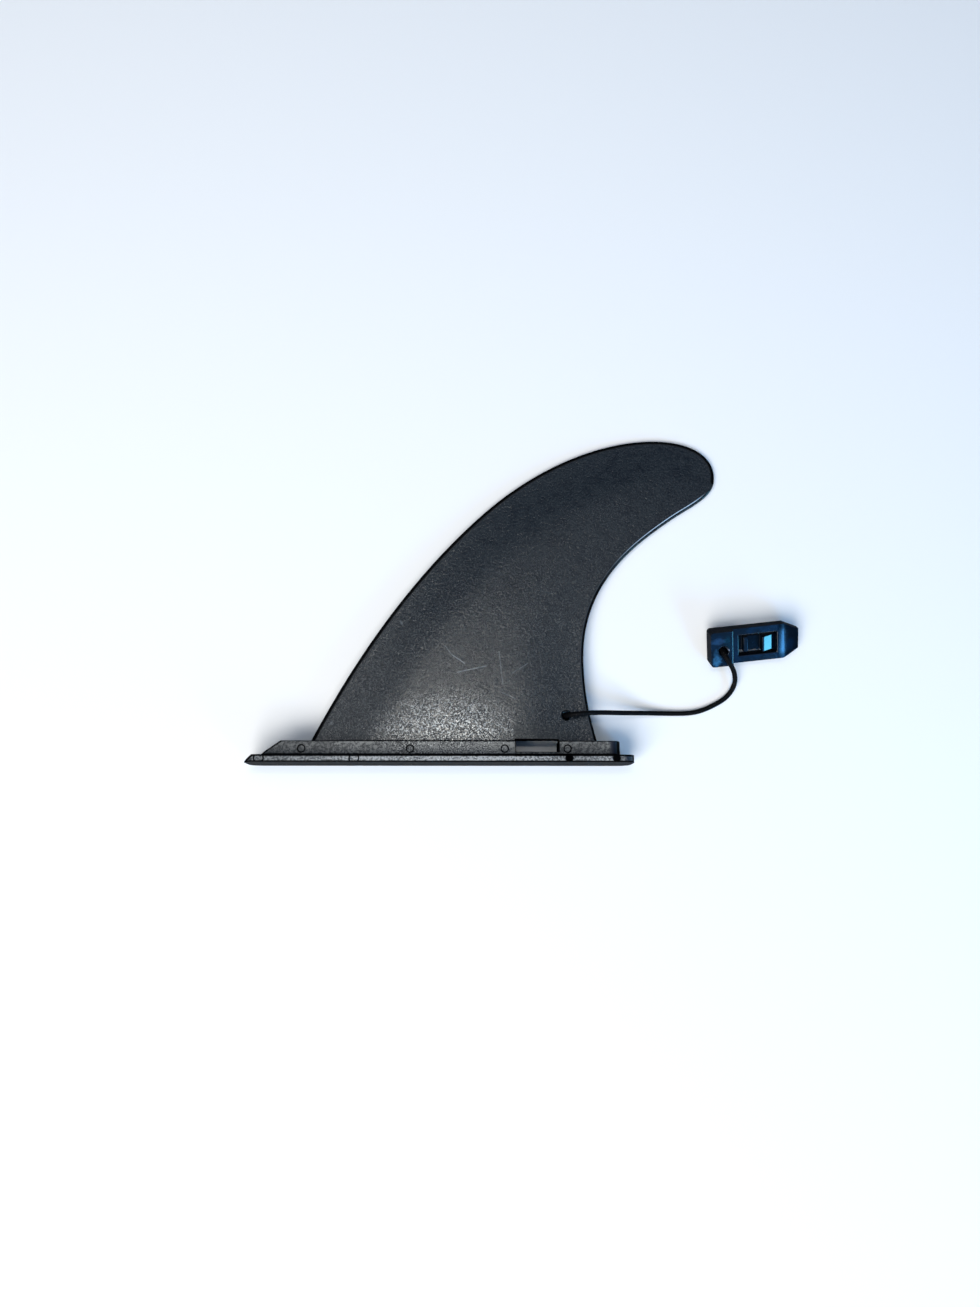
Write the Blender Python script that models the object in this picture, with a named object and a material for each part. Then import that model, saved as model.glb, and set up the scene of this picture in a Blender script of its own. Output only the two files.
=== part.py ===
"""Slide-in paddleboard fin with its locking clip on a short tether cord.

The fin lies on its side, on one long edge of its base and on the blade's tip, as it
rests on a table. Lengths are metres. The fin and the clip are each drawn in a frame
of their own and placed by an empty: the fin's x runs along its base from the nose,
its y is the height above the base and its z goes through the blade's thickness; the
clip's x runs from the head's end to the nose, and its z points out of its upper face.
"""
import math

import bmesh
import bpy
import numpy as np
from mathutils import Matrix, Vector

MM = 0.001

# The base: a flat flange that slides into the board's box, with a neck on it
BASE_LENGTH = 208.0 * MM
FLANGE_WIDTH = 25.0 * MM
FLANGE_THICKNESS = 4.0 * MM
FLANGE_CORNER = 6.3 * MM
FLANGE_NOSE_RUN = 4.8 * MM
NECK_FRONT = 7.3 * MM
NECK_REAR = 201.1 * MM
NECK_WIDTH = 14.0 * MM
NECK_HEIGHT = 7.9 * MM
NECK_CORNER = 5.0 * MM
NECK_RAMP_RUN = 11.4 * MM
BASE_EDGE_ROUND = 0.5 * MM
NECK_TOP = FLANGE_THICKNESS + NECK_HEIGHT

# The slot that the clip is pushed through, its start as a share of the blade's reach
SLOT_START_SHARE = 0.492
SLOT_LENGTH = 23.3 * MM
SLOT_BOTTOM = 6.0 * MM
SLOT_HEIGHT = 6.9 * MM

# The blade reaches from its root's front to its tip. Its two edges are smooth curves drawn
# in shares of that reach and of its height above the root: every third pair is a point on
# the edge, and the two pairs between are the handles that bend it.
BLADE_FRONT = 32.2 * MM
BLADE_REACH = 260.3 * MM
BLADE_TOP = 187.0 * MM
BLADE_ROOT_SINK = 2.9 * MM
ROOT_HEIGHT = NECK_TOP - BLADE_ROOT_SINK
TIP_SHARE = (1.0, 0.860)
LEADING_SHAPE = (
    (0.0, 0.0),
    (0.036, 0.085),
    (0.164, 0.439),
    (0.406, 0.734),
    (0.685, 1.075),
    (1.025, 1.055),
    TIP_SHARE,
)
TRAILING_SHAPE = (
    (0.692, 0.0),
    (0.682, 0.049),
    (0.6594, 0.135),
    (0.6594, 0.271),
    (0.6594, 0.517),
    (0.789, 0.642),
    (0.886, 0.730),
    (0.9365, 0.7755),
    (0.993, 0.806),
    TIP_SHARE,
)
ROOT_HALF_THICKNESS = 4.3 * MM
TIP_HALF_THICKNESS = 2.1 * MM
EDGE_HALF_THICKNESS = 1.4 * MM
EDGE_ROUNDING = 1.5 * MM
LEADING_BEVEL = 32.0 * MM
TRAILING_BEVEL = 38.0 * MM
BLADE_STATIONS = 36
CHORD_STATIONS = 11
EDGE_STATIONS = (0.15, 0.5, 1.1)
EDGE_STATION_CHORD_SHARE = 0.12

# The tether's hole, in shares of the blade's reach and height
TETHER_HOLE_SHARE = (0.616, 0.0978)
TETHER_HOLE_BORE = 5.6 * MM

# Round marks that the mould's ejector pins leave on the side
NECK_MARKS_X = (29.9 * MM, 87.8 * MM, 138.5 * MM, 172.3 * MM)
NECK_MARK_HEIGHT = 7.6 * MM
NECK_MARK_BORE = 3.9 * MM
FLANGE_MARKS_X = (8.6 * MM, 58.6 * MM, 172.6 * MM, 197.8 * MM)
FLANGE_MARK_BORE = 3.4 * MM
MARK_DEPTH = 0.25 * MM

# The locking clip
CLIP_LENGTH = 50.6 * MM
CLIP_WIDTH = 20.2 * MM
TONGUE_THICKNESS = 6.0 * MM
HEAD_LENGTH = 12.8 * MM
HEAD_RISE = 3.4 * MM
HEAD_CORNER = 1.8 * MM
CLIP_EDGE_ROUND = 0.5 * MM
NOSE_CHAMFER_RUN = 8.8 * MM
NOSE_CHAMFER_DEPTH = 4.4 * MM
NOSE_SLOPE_RUN = 11.0 * MM
NOSE_THICKNESS = 2.8 * MM
WINDOW_START = 16.4 * MM
WINDOW_LENGTH = 21.4 * MM
WINDOW_WIDTH = 12.2 * MM
LATCH_WIDTH = 8.6 * MM
LATCH_FREE_GAP = 3.0 * MM
LATCH_ARM_BOTTOM = 0.8 * MM
LATCH_ARM_THICKNESS = 2.2 * MM
LATCH_LIP_LENGTH = 2.3 * MM
LATCH_LIP_RISE = 2.2 * MM
LATCH_TOOTH_HEIGHT = 1.5 * MM
LATCH_LOCK_FACE = 12.8 * MM
LATCH_TOOTH_TOP = 0.9 * MM
LATCH_TOOTH_RUN = 6.2 * MM
LATCH_ROOT_LAP = 0.8 * MM
CLIP_HOLE = (7.2 * MM, -0.9 * MM)
CLIP_HOLE_BORE = 5.4 * MM

# How the clip lies: its head's end, its turn on the table, its roll and its pitch
CLIP_PLACE = (122.7 * MM, -26.3 * MM)
CLIP_TURN = math.radians(6.2)
CLIP_ROLL = math.radians(28.0)
CLIP_PITCH = math.radians(-2.0)

# The tether cord and the stopper knots at its two ends
CORD_DIAMETER = 2.6 * MM
CORD_POINT_SPACING = 2.2 * CORD_DIAMETER
KNOT_GAP = 0.3 * MM
FIN_KNOT_RADII = (3.9 * MM, 3.4 * MM, 2.9 * MM)
CLIP_KNOT_RADII = (3.9 * MM, 3.6 * MM, 2.4 * MM)
CLIP_KNOT_SHIFT = 1.5 * MM
KNOT_LOBES = 3
KNOT_LOBE_DEPTH = 0.06
# The cord climbs out of the blade's hole, as steps from the hole's centre, and then runs
# down to the table, round a loose bend and over the clip's head into its hole
CORD_RISE = tuple(
    (x * MM, y * MM, z * MM)
    for x, y, z in (
        (-0.1, -0.2, -2.2),
        (-0.1, -0.1, 0.1),
        (0.0, 0.0, 2.3),
        (1.2, 0.1, 4.9),
        (3.9, 0.4, 6.8),
        (7.6, 0.8, 7.1),
        (12.4, 1.2, 5.6),
    )
)
CORD_ROUTE = tuple(
    (x * MM, y * MM, z * MM)
    for x, y, z in (
        (60.5, -65.1, 14.4),
        (67.0, -64.9, 11.6),
        (74.0, -64.8, 8.7),
        (82.0, -64.6, 5.7),
        (90.0, -64.5, 3.4),
        (98.0, -64.5, 1.9),
        (106.0, -64.5, 1.4),
        (113.5, -64.1, 1.4),
        (120.4, -62.4, 1.4),
        (126.5, -59.7, 1.4),
        (131.6, -56.7, 1.5),
        (135.2, -53.3, 2.0),
        (137.1, -49.8, 3.6),
        (137.6, -46.3, 6.0),
        (135.5, -39.9, 9.6),
        (133.4, -37.9, 12.5),
        (131.6, -35.7, 14.3),
        (130.0, -32.9, 14.2),
        (129.2, -29.9, 11.9),
        (129.2, -27.9, 8.6),
        (129.8, -26.4, 4.5),
    )
)

PLASTIC = ("fin_plastic", (0.030, 0.034, 0.040), 0.42)
GLOSS_PLASTIC = ("clip_plastic", (0.006, 0.012, 0.020), 0.18)
BRAID = ("tether_braid", (0.008, 0.008, 0.009), 0.75)


def material(name, colour, roughness):
    """Return a plain plastic or fibre material, made once for each name."""
    found = bpy.data.materials.get(name)
    if found:
        return found
    made = bpy.data.materials.new(name)
    made.use_nodes = True
    shader = made.node_tree.nodes["Principled BSDF"]
    shader.inputs["Base Color"].default_value = (*colour, 1.0)
    shader.inputs["Roughness"].default_value = roughness
    shader.inputs["Metallic"].default_value = 0.0
    return made


def add_object(name, shape, finish=None, parent=None):
    """Put a bmesh or mesh into the scene under a name, with its finish and its parent."""
    if isinstance(shape, bmesh.types.BMesh):
        mesh = bpy.data.meshes.new(name)
        bmesh.ops.recalc_face_normals(shape, faces=shape.faces)
        shape.to_mesh(mesh)
        shape.free()
    else:
        mesh = shape
    thing = bpy.data.objects.new(name, mesh)
    bpy.context.scene.collection.objects.link(thing)
    if finish:
        mesh.materials.append(material(*finish))
    thing.parent = parent
    return thing


def add_helper(name, shape, parent):
    """Add a cutter or an added form: a wire that isn't rendered or built by itself."""
    helper = add_object(name, shape, parent=parent)
    helper.hide_render = True
    helper.display_type = "WIRE"
    return helper


def combine(target, helper, operation):
    """Join a helper to the target or cut the target with it."""
    step = target.modifiers.new(helper.name, "BOOLEAN")
    step.operation = operation
    step.solver = "EXACT"
    step.object = helper


def extrude_outline(points, direction):
    """Return a prism: a flat outline of 3-D points carried along one direction."""
    form = bmesh.new()
    face = form.faces.new([form.verts.new(p) for p in points])
    moved = bmesh.ops.extrude_face_region(form, geom=[face])
    verts = [v for v in moved["geom"] if isinstance(v, bmesh.types.BMVert)]
    bmesh.ops.translate(form, verts=verts, vec=direction)
    bmesh.ops.recalc_face_normals(form, faces=form.faces)
    return form


def rounded_rectangle(start, end, half_width, radius, steps=5):
    """Return a plan outline (x, w) with round corners."""
    outline = []
    corners = (
        (end - radius, half_width - radius, 0.0),
        (start + radius, half_width - radius, 90.0),
        (start + radius, radius - half_width, 180.0),
        (end - radius, radius - half_width, 270.0),
    )
    for centre_x, centre_w, begin in corners:
        for step in range(steps + 1):
            angle = math.radians(begin + 90.0 * step / steps)
            outline.append((centre_x + radius * math.cos(angle), centre_w + radius * math.sin(angle)))
    return outline


def slice_above(form, point, normal):
    """Cut off what lies on the normal's side of a plane and close the cut."""
    geometry = form.verts[:] + form.edges[:] + form.faces[:]
    cut = bmesh.ops.bisect_plane(
        form, geom=geometry, dist=1e-7, plane_co=point, plane_no=normal, clear_outer=True
    )
    edges = [e for e in cut["geom_cut"] if isinstance(e, bmesh.types.BMEdge)]
    bmesh.ops.contextual_create(form, geom=edges)


def round_edges(form, choose, width, segments=1):
    """Bevel the edges that the chooser picks."""
    bmesh.ops.bevel(
        form,
        geom=[e for e in form.edges if choose(e)],
        offset=width,
        offset_type="OFFSET",
        segments=segments,
        profile=0.5,
        affect="EDGES",
    )


def cylinder(centre, axis, bore, length, sides=28):
    """Return a round bar of a bore and a length about a centre, along an axis."""
    form = bmesh.new()
    turn = Vector((0.0, 0.0, 1.0)).rotation_difference(Vector(axis)).to_matrix().to_4x4()
    bmesh.ops.create_cone(
        form,
        cap_ends=True,
        segments=sides,
        radius1=bore / 2,
        radius2=bore / 2,
        depth=length,
        matrix=Matrix.Translation(Vector(centre)) @ turn,
    )
    return form


def box(low, high):
    """Return a box between two corners."""
    x0, y0, z0 = low
    x1, y1, z1 = high
    outline = [(x0, y0, z0), (x1, y0, z0), (x1, y1, z0), (x0, y1, z0)]
    return extrude_outline(outline, (0.0, 0.0, z1 - z0))


def blade_place(shares):
    """Turn shares of the blade's reach and height into places in the fin's own frame."""
    low = np.array((BLADE_FRONT, ROOT_HEIGHT))
    high = np.array((BLADE_REACH, BLADE_TOP))
    return low + np.array(shares) * (high - low)


def edge_curve(shape, steps=60):
    """Return points on one edge of the blade, by cubic Bezier spans through its shape."""
    controls = blade_place(shape)
    t = np.linspace(0.0, 1.0, steps)[:, None]
    s = 1.0 - t
    spans = [controls[:1]]
    for start in range(0, len(controls) - 1, 3):
        p0, p1, p2, p3 = controls[start : start + 4]
        span = s**3 * p0 + 3 * s * s * t * p1 + 3 * s * t * t * p2 + t**3 * p3
        spans.append(span[1:])
    return np.vstack(spans)


def along(points, shares):
    """Return the points at shares of the length of a line of points."""
    steps = np.linalg.norm(np.diff(points, axis=0), axis=1)
    reach = np.concatenate(([0.0], np.cumsum(steps)))
    wanted = np.asarray(shares) * reach[-1]
    return np.stack([np.interp(wanted, reach, column) for column in points.T], axis=1)


def distance_to(points, line):
    """Return the distance from each point to a line of points."""
    start = line[:-1]
    step = line[1:] - start
    length = (step * step).sum(axis=1)
    offset = points[:, None, :] - start[None]
    share = np.clip((offset * step).sum(axis=2) / length, 0.0, 1.0)
    nearest = start[None] + share[..., None] * step
    return np.linalg.norm(points[:, None, :] - nearest, axis=2).min(axis=1)


def half_thickness(points, leading, trailing):
    """Foil section: thin round edges that swell smoothly to a flat middle."""
    to_leading = distance_to(points, leading)
    to_trailing = distance_to(points, trailing)
    nearest = np.minimum(to_leading, to_trailing)

    def swell(distance, width):
        share = np.clip(distance / width, 0.0, 1.0)
        return share * share * (3.0 - 2.0 * share)

    taper = np.clip(points[:, 1] / BLADE_TOP, 0.0, 1.0)
    middle = ROOT_HALF_THICKNESS + (TIP_HALF_THICKNESS - ROOT_HALF_THICKNESS) * taper
    fullness = swell(to_leading, LEADING_BEVEL) * swell(to_trailing, TRAILING_BEVEL)
    foil = EDGE_HALF_THICKNESS + (middle - EDGE_HALF_THICKNESS) * fullness
    inside = np.clip(1.0 - nearest / EDGE_ROUNDING, 0.0, 1.0)
    return foil * np.sqrt(1.0 - inside * inside)


def chord_shares(chord):
    """Places across a chord: close together in the rounded edges, even between them."""
    step = min(EDGE_ROUNDING, EDGE_STATION_CHORD_SHARE * chord) / chord
    near = [step * station for station in EDGE_STATIONS]
    middle = np.linspace(near[-1], 1.0 - near[-1], CHORD_STATIONS + 2)
    far = [1.0 - share for share in reversed(near[:-1])]
    return np.concatenate(([0.0], near[:-1], middle, far, [1.0]))


def blade_grid():
    """Return the blade's plan points, half its thickness at each, and the tip's point."""
    leading = edge_curve(LEADING_SHAPE)
    trailing = edge_curve(TRAILING_SHAPE)
    shares = np.sin(0.5 * math.pi * np.linspace(0.0, 1.0, BLADE_STATIONS + 1))[:-1]
    front = along(leading, shares)
    rear = along(trailing, shares)
    rows = []
    for a, b in zip(front, rear):
        across = chord_shares(np.linalg.norm(b - a))[:, None]
        rows.append(a + (b - a) * across)
    plan = np.array(rows)
    thick = half_thickness(plan.reshape(-1, 2), leading, trailing).reshape(plan.shape[:2])
    thick[:, 0] = 0.0
    thick[:, -1] = 0.0
    return plan, thick, leading[-1]


def blade_form(plan, thick, tip_point):
    """Return the blade as one closed body lofted from its chord stations to the tip."""
    form = bmesh.new()
    count = plan.shape[1]
    sides = {}
    for sign in (1.0, -1.0):
        sides[sign] = [
            [form.verts.new((p[0], p[1], sign * t)) for p, t in zip(row, half)]
            for row, half in zip(plan, thick)
        ]
    for upper, lower in zip(sides[1.0], sides[-1.0]):
        for end in (0, count - 1):
            form.verts.remove(lower[end])
            lower[end] = upper[end]
    tip = form.verts.new((*tip_point, 0.0))
    for side in sides.values():
        for row, following in zip(side[:-1], side[1:]):
            for j in range(count - 1):
                form.faces.new((row[j], row[j + 1], following[j + 1], following[j]))
        for j in range(count - 1):
            form.faces.new((side[-1][j], side[-1][j + 1], tip))
    root = sides[1.0][0] + sides[-1.0][0][-2:0:-1]
    form.faces.new(root)
    bmesh.ops.recalc_face_normals(form, faces=form.faces)
    return form


def plan_prism(outline, bottom, thickness):
    """Return a plate of the base: an (x, w) outline carried up from one height."""
    points = [(x, bottom, w) for x, w in outline]
    return extrude_outline(points, (0.0, thickness, 0.0))


def is_level(edge):
    """True for an edge that runs round the top or the bottom of a plate."""
    return abs(edge.verts[0].co.y - edge.verts[1].co.y) < 1e-6


def flange_form():
    """Return the flange: a flat plate with round corners and a sloped nose."""
    outline = rounded_rectangle(0.0, BASE_LENGTH, FLANGE_WIDTH / 2, FLANGE_CORNER)
    form = plan_prism(outline, 0.0, FLANGE_THICKNESS)
    round_edges(form, is_level, BASE_EDGE_ROUND)
    slope = Vector((-FLANGE_THICKNESS, FLANGE_NOSE_RUN, 0.0)).normalized()
    slice_above(form, Vector((BASE_EDGE_ROUND, BASE_EDGE_ROUND, 0.0)), slope)
    return form


def neck_form():
    """Return the neck: a long bar on the flange, ramped in front and rounded behind."""
    outline = rounded_rectangle(NECK_FRONT, NECK_REAR, NECK_WIDTH / 2, NECK_CORNER)
    form = plan_prism(outline, FLANGE_THICKNESS / 2, NECK_TOP - FLANGE_THICKNESS / 2)
    round_edges(form, lambda e: is_level(e) and e.verts[0].co.y > FLANGE_THICKNESS, BASE_EDGE_ROUND)
    slope = Vector((-NECK_HEIGHT, NECK_RAMP_RUN, 0.0)).normalized()
    slice_above(form, Vector((NECK_FRONT, FLANGE_THICKNESS, 0.0)), slope)
    return form


def mark_form():
    """Return the shallow round cutters of the ejector marks, on the upper side."""
    form = bmesh.new()
    rows = (
        (NECK_MARKS_X, NECK_MARK_HEIGHT, NECK_WIDTH / 2, NECK_MARK_BORE),
        (FLANGE_MARKS_X, FLANGE_THICKNESS / 2, FLANGE_WIDTH / 2, FLANGE_MARK_BORE),
    )
    for places, height, side, bore in rows:
        for x in places:
            mark = cylinder((x, height, side), (0.0, 0.0, 1.0), bore, 2 * MARK_DEPTH, sides=16)
            mesh = bpy.data.meshes.new("mark")
            mark.to_mesh(mesh)
            mark.free()
            form.from_mesh(mesh)
            bpy.data.meshes.remove(mesh)
    return form


def resting_tilt(plan, thick):
    """Return the angle at which the fin lies on its flange's long edge and its tip."""
    out = thick.ravel()
    height = plan[..., 1].ravel()
    beyond = height > 2.0 * NECK_TOP
    edge_low = FLANGE_WIDTH / 2
    edge_top = FLANGE_THICKNESS - BASE_EDGE_ROUND
    return float(np.arctan2(edge_low - out[beyond], height[beyond] - edge_top).min())


def build_fin(parent, blade):
    """Build the fin: flange, neck and blade in one moulding, with its slot and holes."""
    fin = add_object("fin", neck_form(), PLASTIC, parent)
    combine(fin, add_helper("flange_form", flange_form(), parent), "UNION")
    combine(fin, add_helper("blade_form", blade, parent), "UNION")
    slot_start = blade_place((SLOT_START_SHARE, 0.0))[0]
    slot = box(
        (slot_start, SLOT_BOTTOM, -NECK_WIDTH),
        (slot_start + SLOT_LENGTH, SLOT_BOTTOM + SLOT_HEIGHT, NECK_WIDTH),
    )
    combine(fin, add_helper("key_slot_cut", slot, parent), "DIFFERENCE")
    centre = (*blade_place(TETHER_HOLE_SHARE), 0.0)
    hole = cylinder(centre, (0.0, 0.0, 1.0), TETHER_HOLE_BORE, 2 * NECK_WIDTH)
    combine(fin, add_helper("tether_hole_cut", hole, parent), "DIFFERENCE")
    combine(fin, add_helper("ejector_mark_cut", mark_form(), parent), "DIFFERENCE")
    return fin


def is_outer_corner(edge):
    """True for a sharp edge that stands out, not one in a step or a smooth round."""
    return edge.is_convex and edge.calc_face_angle() > math.radians(15.0)


def clip_form():
    """Return the clip's body: a raised head, a flat tongue and a pointed, sloping nose."""
    half = CLIP_WIDTH / 2
    head_top = TONGUE_THICKNESS + HEAD_RISE
    profile = [
        (0.0, 0.0),
        (CLIP_LENGTH, 0.0),
        (CLIP_LENGTH, NOSE_THICKNESS),
        (CLIP_LENGTH - NOSE_SLOPE_RUN, TONGUE_THICKNESS),
        (HEAD_LENGTH, TONGUE_THICKNESS),
        (HEAD_LENGTH, head_top),
        (0.0, head_top),
    ]
    form = extrude_outline([(x, -half, z) for x, z in profile], (0.0, CLIP_WIDTH, 0.0))
    for side in (1.0, -1.0):
        shoulder = Vector((CLIP_LENGTH - NOSE_CHAMFER_RUN, side * half, 0.0))
        slope = Vector((NOSE_CHAMFER_DEPTH, side * NOSE_CHAMFER_RUN, 0.0)).normalized()
        slice_above(form, shoulder, slope)

    def is_head_post(edge):
        upright = abs(edge.verts[0].co.z - edge.verts[1].co.z) > head_top / 2
        return upright and max(v.co.x for v in edge.verts) < HEAD_LENGTH / 2

    round_edges(form, is_head_post, HEAD_CORNER, segments=3)
    form.normal_update()
    round_edges(form, is_outer_corner, CLIP_EDGE_ROUND)
    return form


def latch_form():
    """Return the spring latch: an arm from the window's nose end, a tooth and a lip."""
    root = WINDOW_START + WINDOW_LENGTH
    free = WINDOW_START + LATCH_FREE_GAP
    floor = LATCH_ARM_BOTTOM + LATCH_ARM_THICKNESS
    lip = floor + LATCH_LIP_RISE
    crest = TONGUE_THICKNESS + LATCH_TOOTH_HEIGHT
    lock_face = WINDOW_START + LATCH_LOCK_FACE
    crest_end = lock_face + LATCH_TOOTH_TOP
    outline = [
        (root + LATCH_ROOT_LAP, LATCH_ARM_BOTTOM),
        (free, LATCH_ARM_BOTTOM),
        (free, lip),
        (free + LATCH_LIP_LENGTH, lip),
        (free + LATCH_LIP_LENGTH, floor),
        (lock_face, floor),
        (lock_face, crest),
        (crest_end, crest),
        (crest_end + LATCH_TOOTH_RUN, floor),
        (root + LATCH_ROOT_LAP, floor),
    ]
    points = [(x, -LATCH_WIDTH / 2, z) for x, z in outline]
    return extrude_outline(points, (0.0, LATCH_WIDTH, 0.0))


def build_clip(parent):
    """Build the locking clip: head, tongue and spring latch in one moulding."""
    clip = add_object("locking_clip", clip_form(), GLOSS_PLASTIC, parent)
    window = box(
        (WINDOW_START, -WINDOW_WIDTH / 2, -TONGUE_THICKNESS),
        (WINDOW_START + WINDOW_LENGTH, WINDOW_WIDTH / 2, 2 * TONGUE_THICKNESS),
    )
    combine(clip, add_helper("clip_window_cut", window, parent), "DIFFERENCE")
    combine(clip, add_helper("clip_latch_form", latch_form(), parent), "UNION")
    hole = cylinder((*CLIP_HOLE, 0.0), (0.0, 0.0, 1.0), CLIP_HOLE_BORE, 4 * TONGUE_THICKNESS)
    combine(clip, add_helper("clip_hole_cut", hole, parent), "DIFFERENCE")
    return clip


def lobed_knot(centre, radii, axis, columns=18, rings=9):
    """Return a stopper knot's outer shape: a ball with soft lobes round its axis."""
    form = bmesh.new()
    turn = Vector((0.0, 0.0, 1.0)).rotation_difference(Vector(axis)).to_matrix()
    poles = [form.verts.new(Vector(centre) + turn @ Vector((0.0, 0.0, s * radii[2]))) for s in (1, -1)]
    grid = []
    for i in range(1, rings):
        polar = math.pi * i / rings
        ring = []
        for j in range(columns):
            around = 2.0 * math.pi * j / columns
            lobe = 1.0 - KNOT_LOBE_DEPTH * (1.0 + math.cos(KNOT_LOBES * around + 2.0 * polar))
            reach = math.sin(polar) * lobe
            local = Vector(
                (
                    radii[0] * reach * math.cos(around),
                    radii[1] * reach * math.sin(around),
                    radii[2] * math.cos(polar),
                )
            )
            ring.append(form.verts.new(Vector(centre) + turn @ local))
        grid.append(ring)
    for j in range(columns):
        k = (j + 1) % columns
        form.faces.new((poles[0], grid[0][j], grid[0][k]))
        form.faces.new((poles[1], grid[-1][k], grid[-1][j]))
        for upper, lower in zip(grid[:-1], grid[1:]):
            form.faces.new((upper[j], lower[j], lower[k], upper[k]))
    return form


def smooth_route(route, spacing):
    """Read even points from the natural cubic spline through a cord's route."""
    points = np.array(route)
    gaps = np.linalg.norm(np.diff(points, axis=0), axis=1)
    reach = np.concatenate(([0.0], np.cumsum(gaps)))
    count = len(points)
    system = np.eye(count)
    target = np.zeros_like(points)
    for i in range(1, count - 1):
        before, after = gaps[i - 1], gaps[i]
        system[i, i - 1 : i + 2] = (before, 2.0 * (before + after), after)
        rise = (points[i + 1] - points[i]) / after - (points[i] - points[i - 1]) / before
        target[i] = 6.0 * rise
    bend = np.linalg.solve(system, target)
    fine = np.linspace(0.0, reach[-1], 40 * count)
    span = np.clip(np.searchsorted(reach, fine, side="right") - 1, 0, count - 2)
    width = gaps[span][:, None]
    right = (fine - reach[span])[:, None] / width
    left = 1.0 - right
    curve = left * points[span] + right * points[span + 1]
    curve = curve + ((left**3 - left) * bend[span] + (right**3 - right) * bend[span + 1]) * width**2 / 6.0
    total = np.linalg.norm(np.diff(curve, axis=0), axis=1).sum()
    pieces = max(2, round(total / spacing))
    return along(curve, np.linspace(0.0, 1.0, pieces + 1))


def build_cord(hole_centre):
    """Build the tether as a round curve with closed ends, from the blade's hole."""
    rise = [tuple(hole_centre + Vector(step)) for step in CORD_RISE]
    points = smooth_route((*rise, *CORD_ROUTE), CORD_POINT_SPACING)
    curve = bpy.data.curves.new("tether_cord", "CURVE")
    curve.dimensions = "3D"
    curve.bevel_depth = CORD_DIAMETER / 2
    curve.bevel_resolution = 2
    curve.use_fill_caps = True
    line = curve.splines.new("POLY")
    line.points.add(len(points) - 1)
    for knot, place in zip(line.points, points):
        knot.co = (*place, 1.0)
    curve.materials.append(material(*BRAID))
    cord = bpy.data.objects.new("tether_cord", curve)
    bpy.context.scene.collection.objects.link(cord)
    return cord


def build_knot(name, frame, seat, radii):
    """Build a stopper knot just under a hole's mouth, on the hole's own axis."""
    down = frame.to_3x3() @ Vector((0.0, 0.0, -1.0))
    centre = frame @ Vector(seat) + down * (radii[2] + KNOT_GAP)
    return add_object(name, lobed_knot(centre, radii, down), BRAID)


def smooth_faces(thing, angle=35.0):
    """Shade round surfaces smooth and keep real edges sharp."""
    thing.data.shade_smooth()
    thing.data.set_sharp_from_angle(angle=math.radians(angle))


def add_axes(name, matrix):
    """Add an empty that places what is parented to it."""
    axes = bpy.data.objects.new(name, None)
    axes.matrix_world = matrix
    bpy.context.scene.collection.objects.link(axes)
    return axes


def fin_placement(plan, thick):
    """Return where the fin lies: centred in its own footprint, touching the table."""
    tilt = resting_tilt(plan, thick)
    turn = Matrix.Rotation(-tilt, 4, "X")
    lift = FLANGE_WIDTH / 2 * math.cos(tilt) + (FLANGE_THICKNESS - BASE_EDGE_ROUND) * math.sin(tilt)
    far_x = plan[..., 0].max()
    reach = max(plan[..., 1].max() * math.cos(tilt), 0.0)
    near = -FLANGE_WIDTH / 2 * math.sin(tilt)
    return Matrix.Translation((-far_x / 2, -(reach + near) / 2, lift)) @ turn


def clip_placement():
    """Return where the clip lies: on a long edge, leaning on the knot under its head."""
    turn = (
        Matrix.Rotation(CLIP_TURN, 4, "Z")
        @ Matrix.Rotation(CLIP_PITCH, 4, "Y")
        @ Matrix.Rotation(CLIP_ROLL, 4, "X")
    )
    inner = CLIP_EDGE_ROUND - CLIP_WIDTH / 2
    corners = (
        (HEAD_CORNER, -CLIP_WIDTH / 2, CLIP_EDGE_ROUND),
        (HEAD_CORNER, inner, 0.0),
        (CLIP_LENGTH - NOSE_CHAMFER_RUN, inner, 0.0),
    )
    drop = min((turn @ Vector(corner)).z for corner in corners)
    return Matrix.Translation((*CLIP_PLACE, -drop)) @ turn


def main():
    """Clear the scene and build every piece."""
    for old in list(bpy.data.objects):
        bpy.data.objects.remove(old, do_unlink=True)
    plan, thick, tip_point = blade_grid()
    fin_matrix = fin_placement(plan, thick)
    fin = build_fin(add_axes("fin_axes", fin_matrix), blade_form(plan, thick, tip_point))
    clip_matrix = clip_placement()
    clip = build_clip(add_axes("clip_axes", clip_matrix))
    hole = blade_place(TETHER_HOLE_SHARE)
    build_cord(fin_matrix @ Vector((*hole, 0.0)))
    edges = (edge_curve(LEADING_SHAPE), edge_curve(TRAILING_SHAPE))
    underside = -float(half_thickness(hole[None], *edges)[0])
    fin_knot = build_knot("fin_knot", fin_matrix, (*hole, underside), FIN_KNOT_RADII)
    clip_seat = (CLIP_HOLE[0], CLIP_HOLE[1] + CLIP_KNOT_SHIFT, 0.0)
    clip_knot = build_knot("clip_knot", clip_matrix, clip_seat, CLIP_KNOT_RADII)
    for thing in (fin, clip, fin_knot, clip_knot):
        smooth_faces(thing)


main()
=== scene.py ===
import math
from functools import partialmethod

import bmesh
import bpy
import numpy as np
from mathutils import Matrix, Vector


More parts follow.
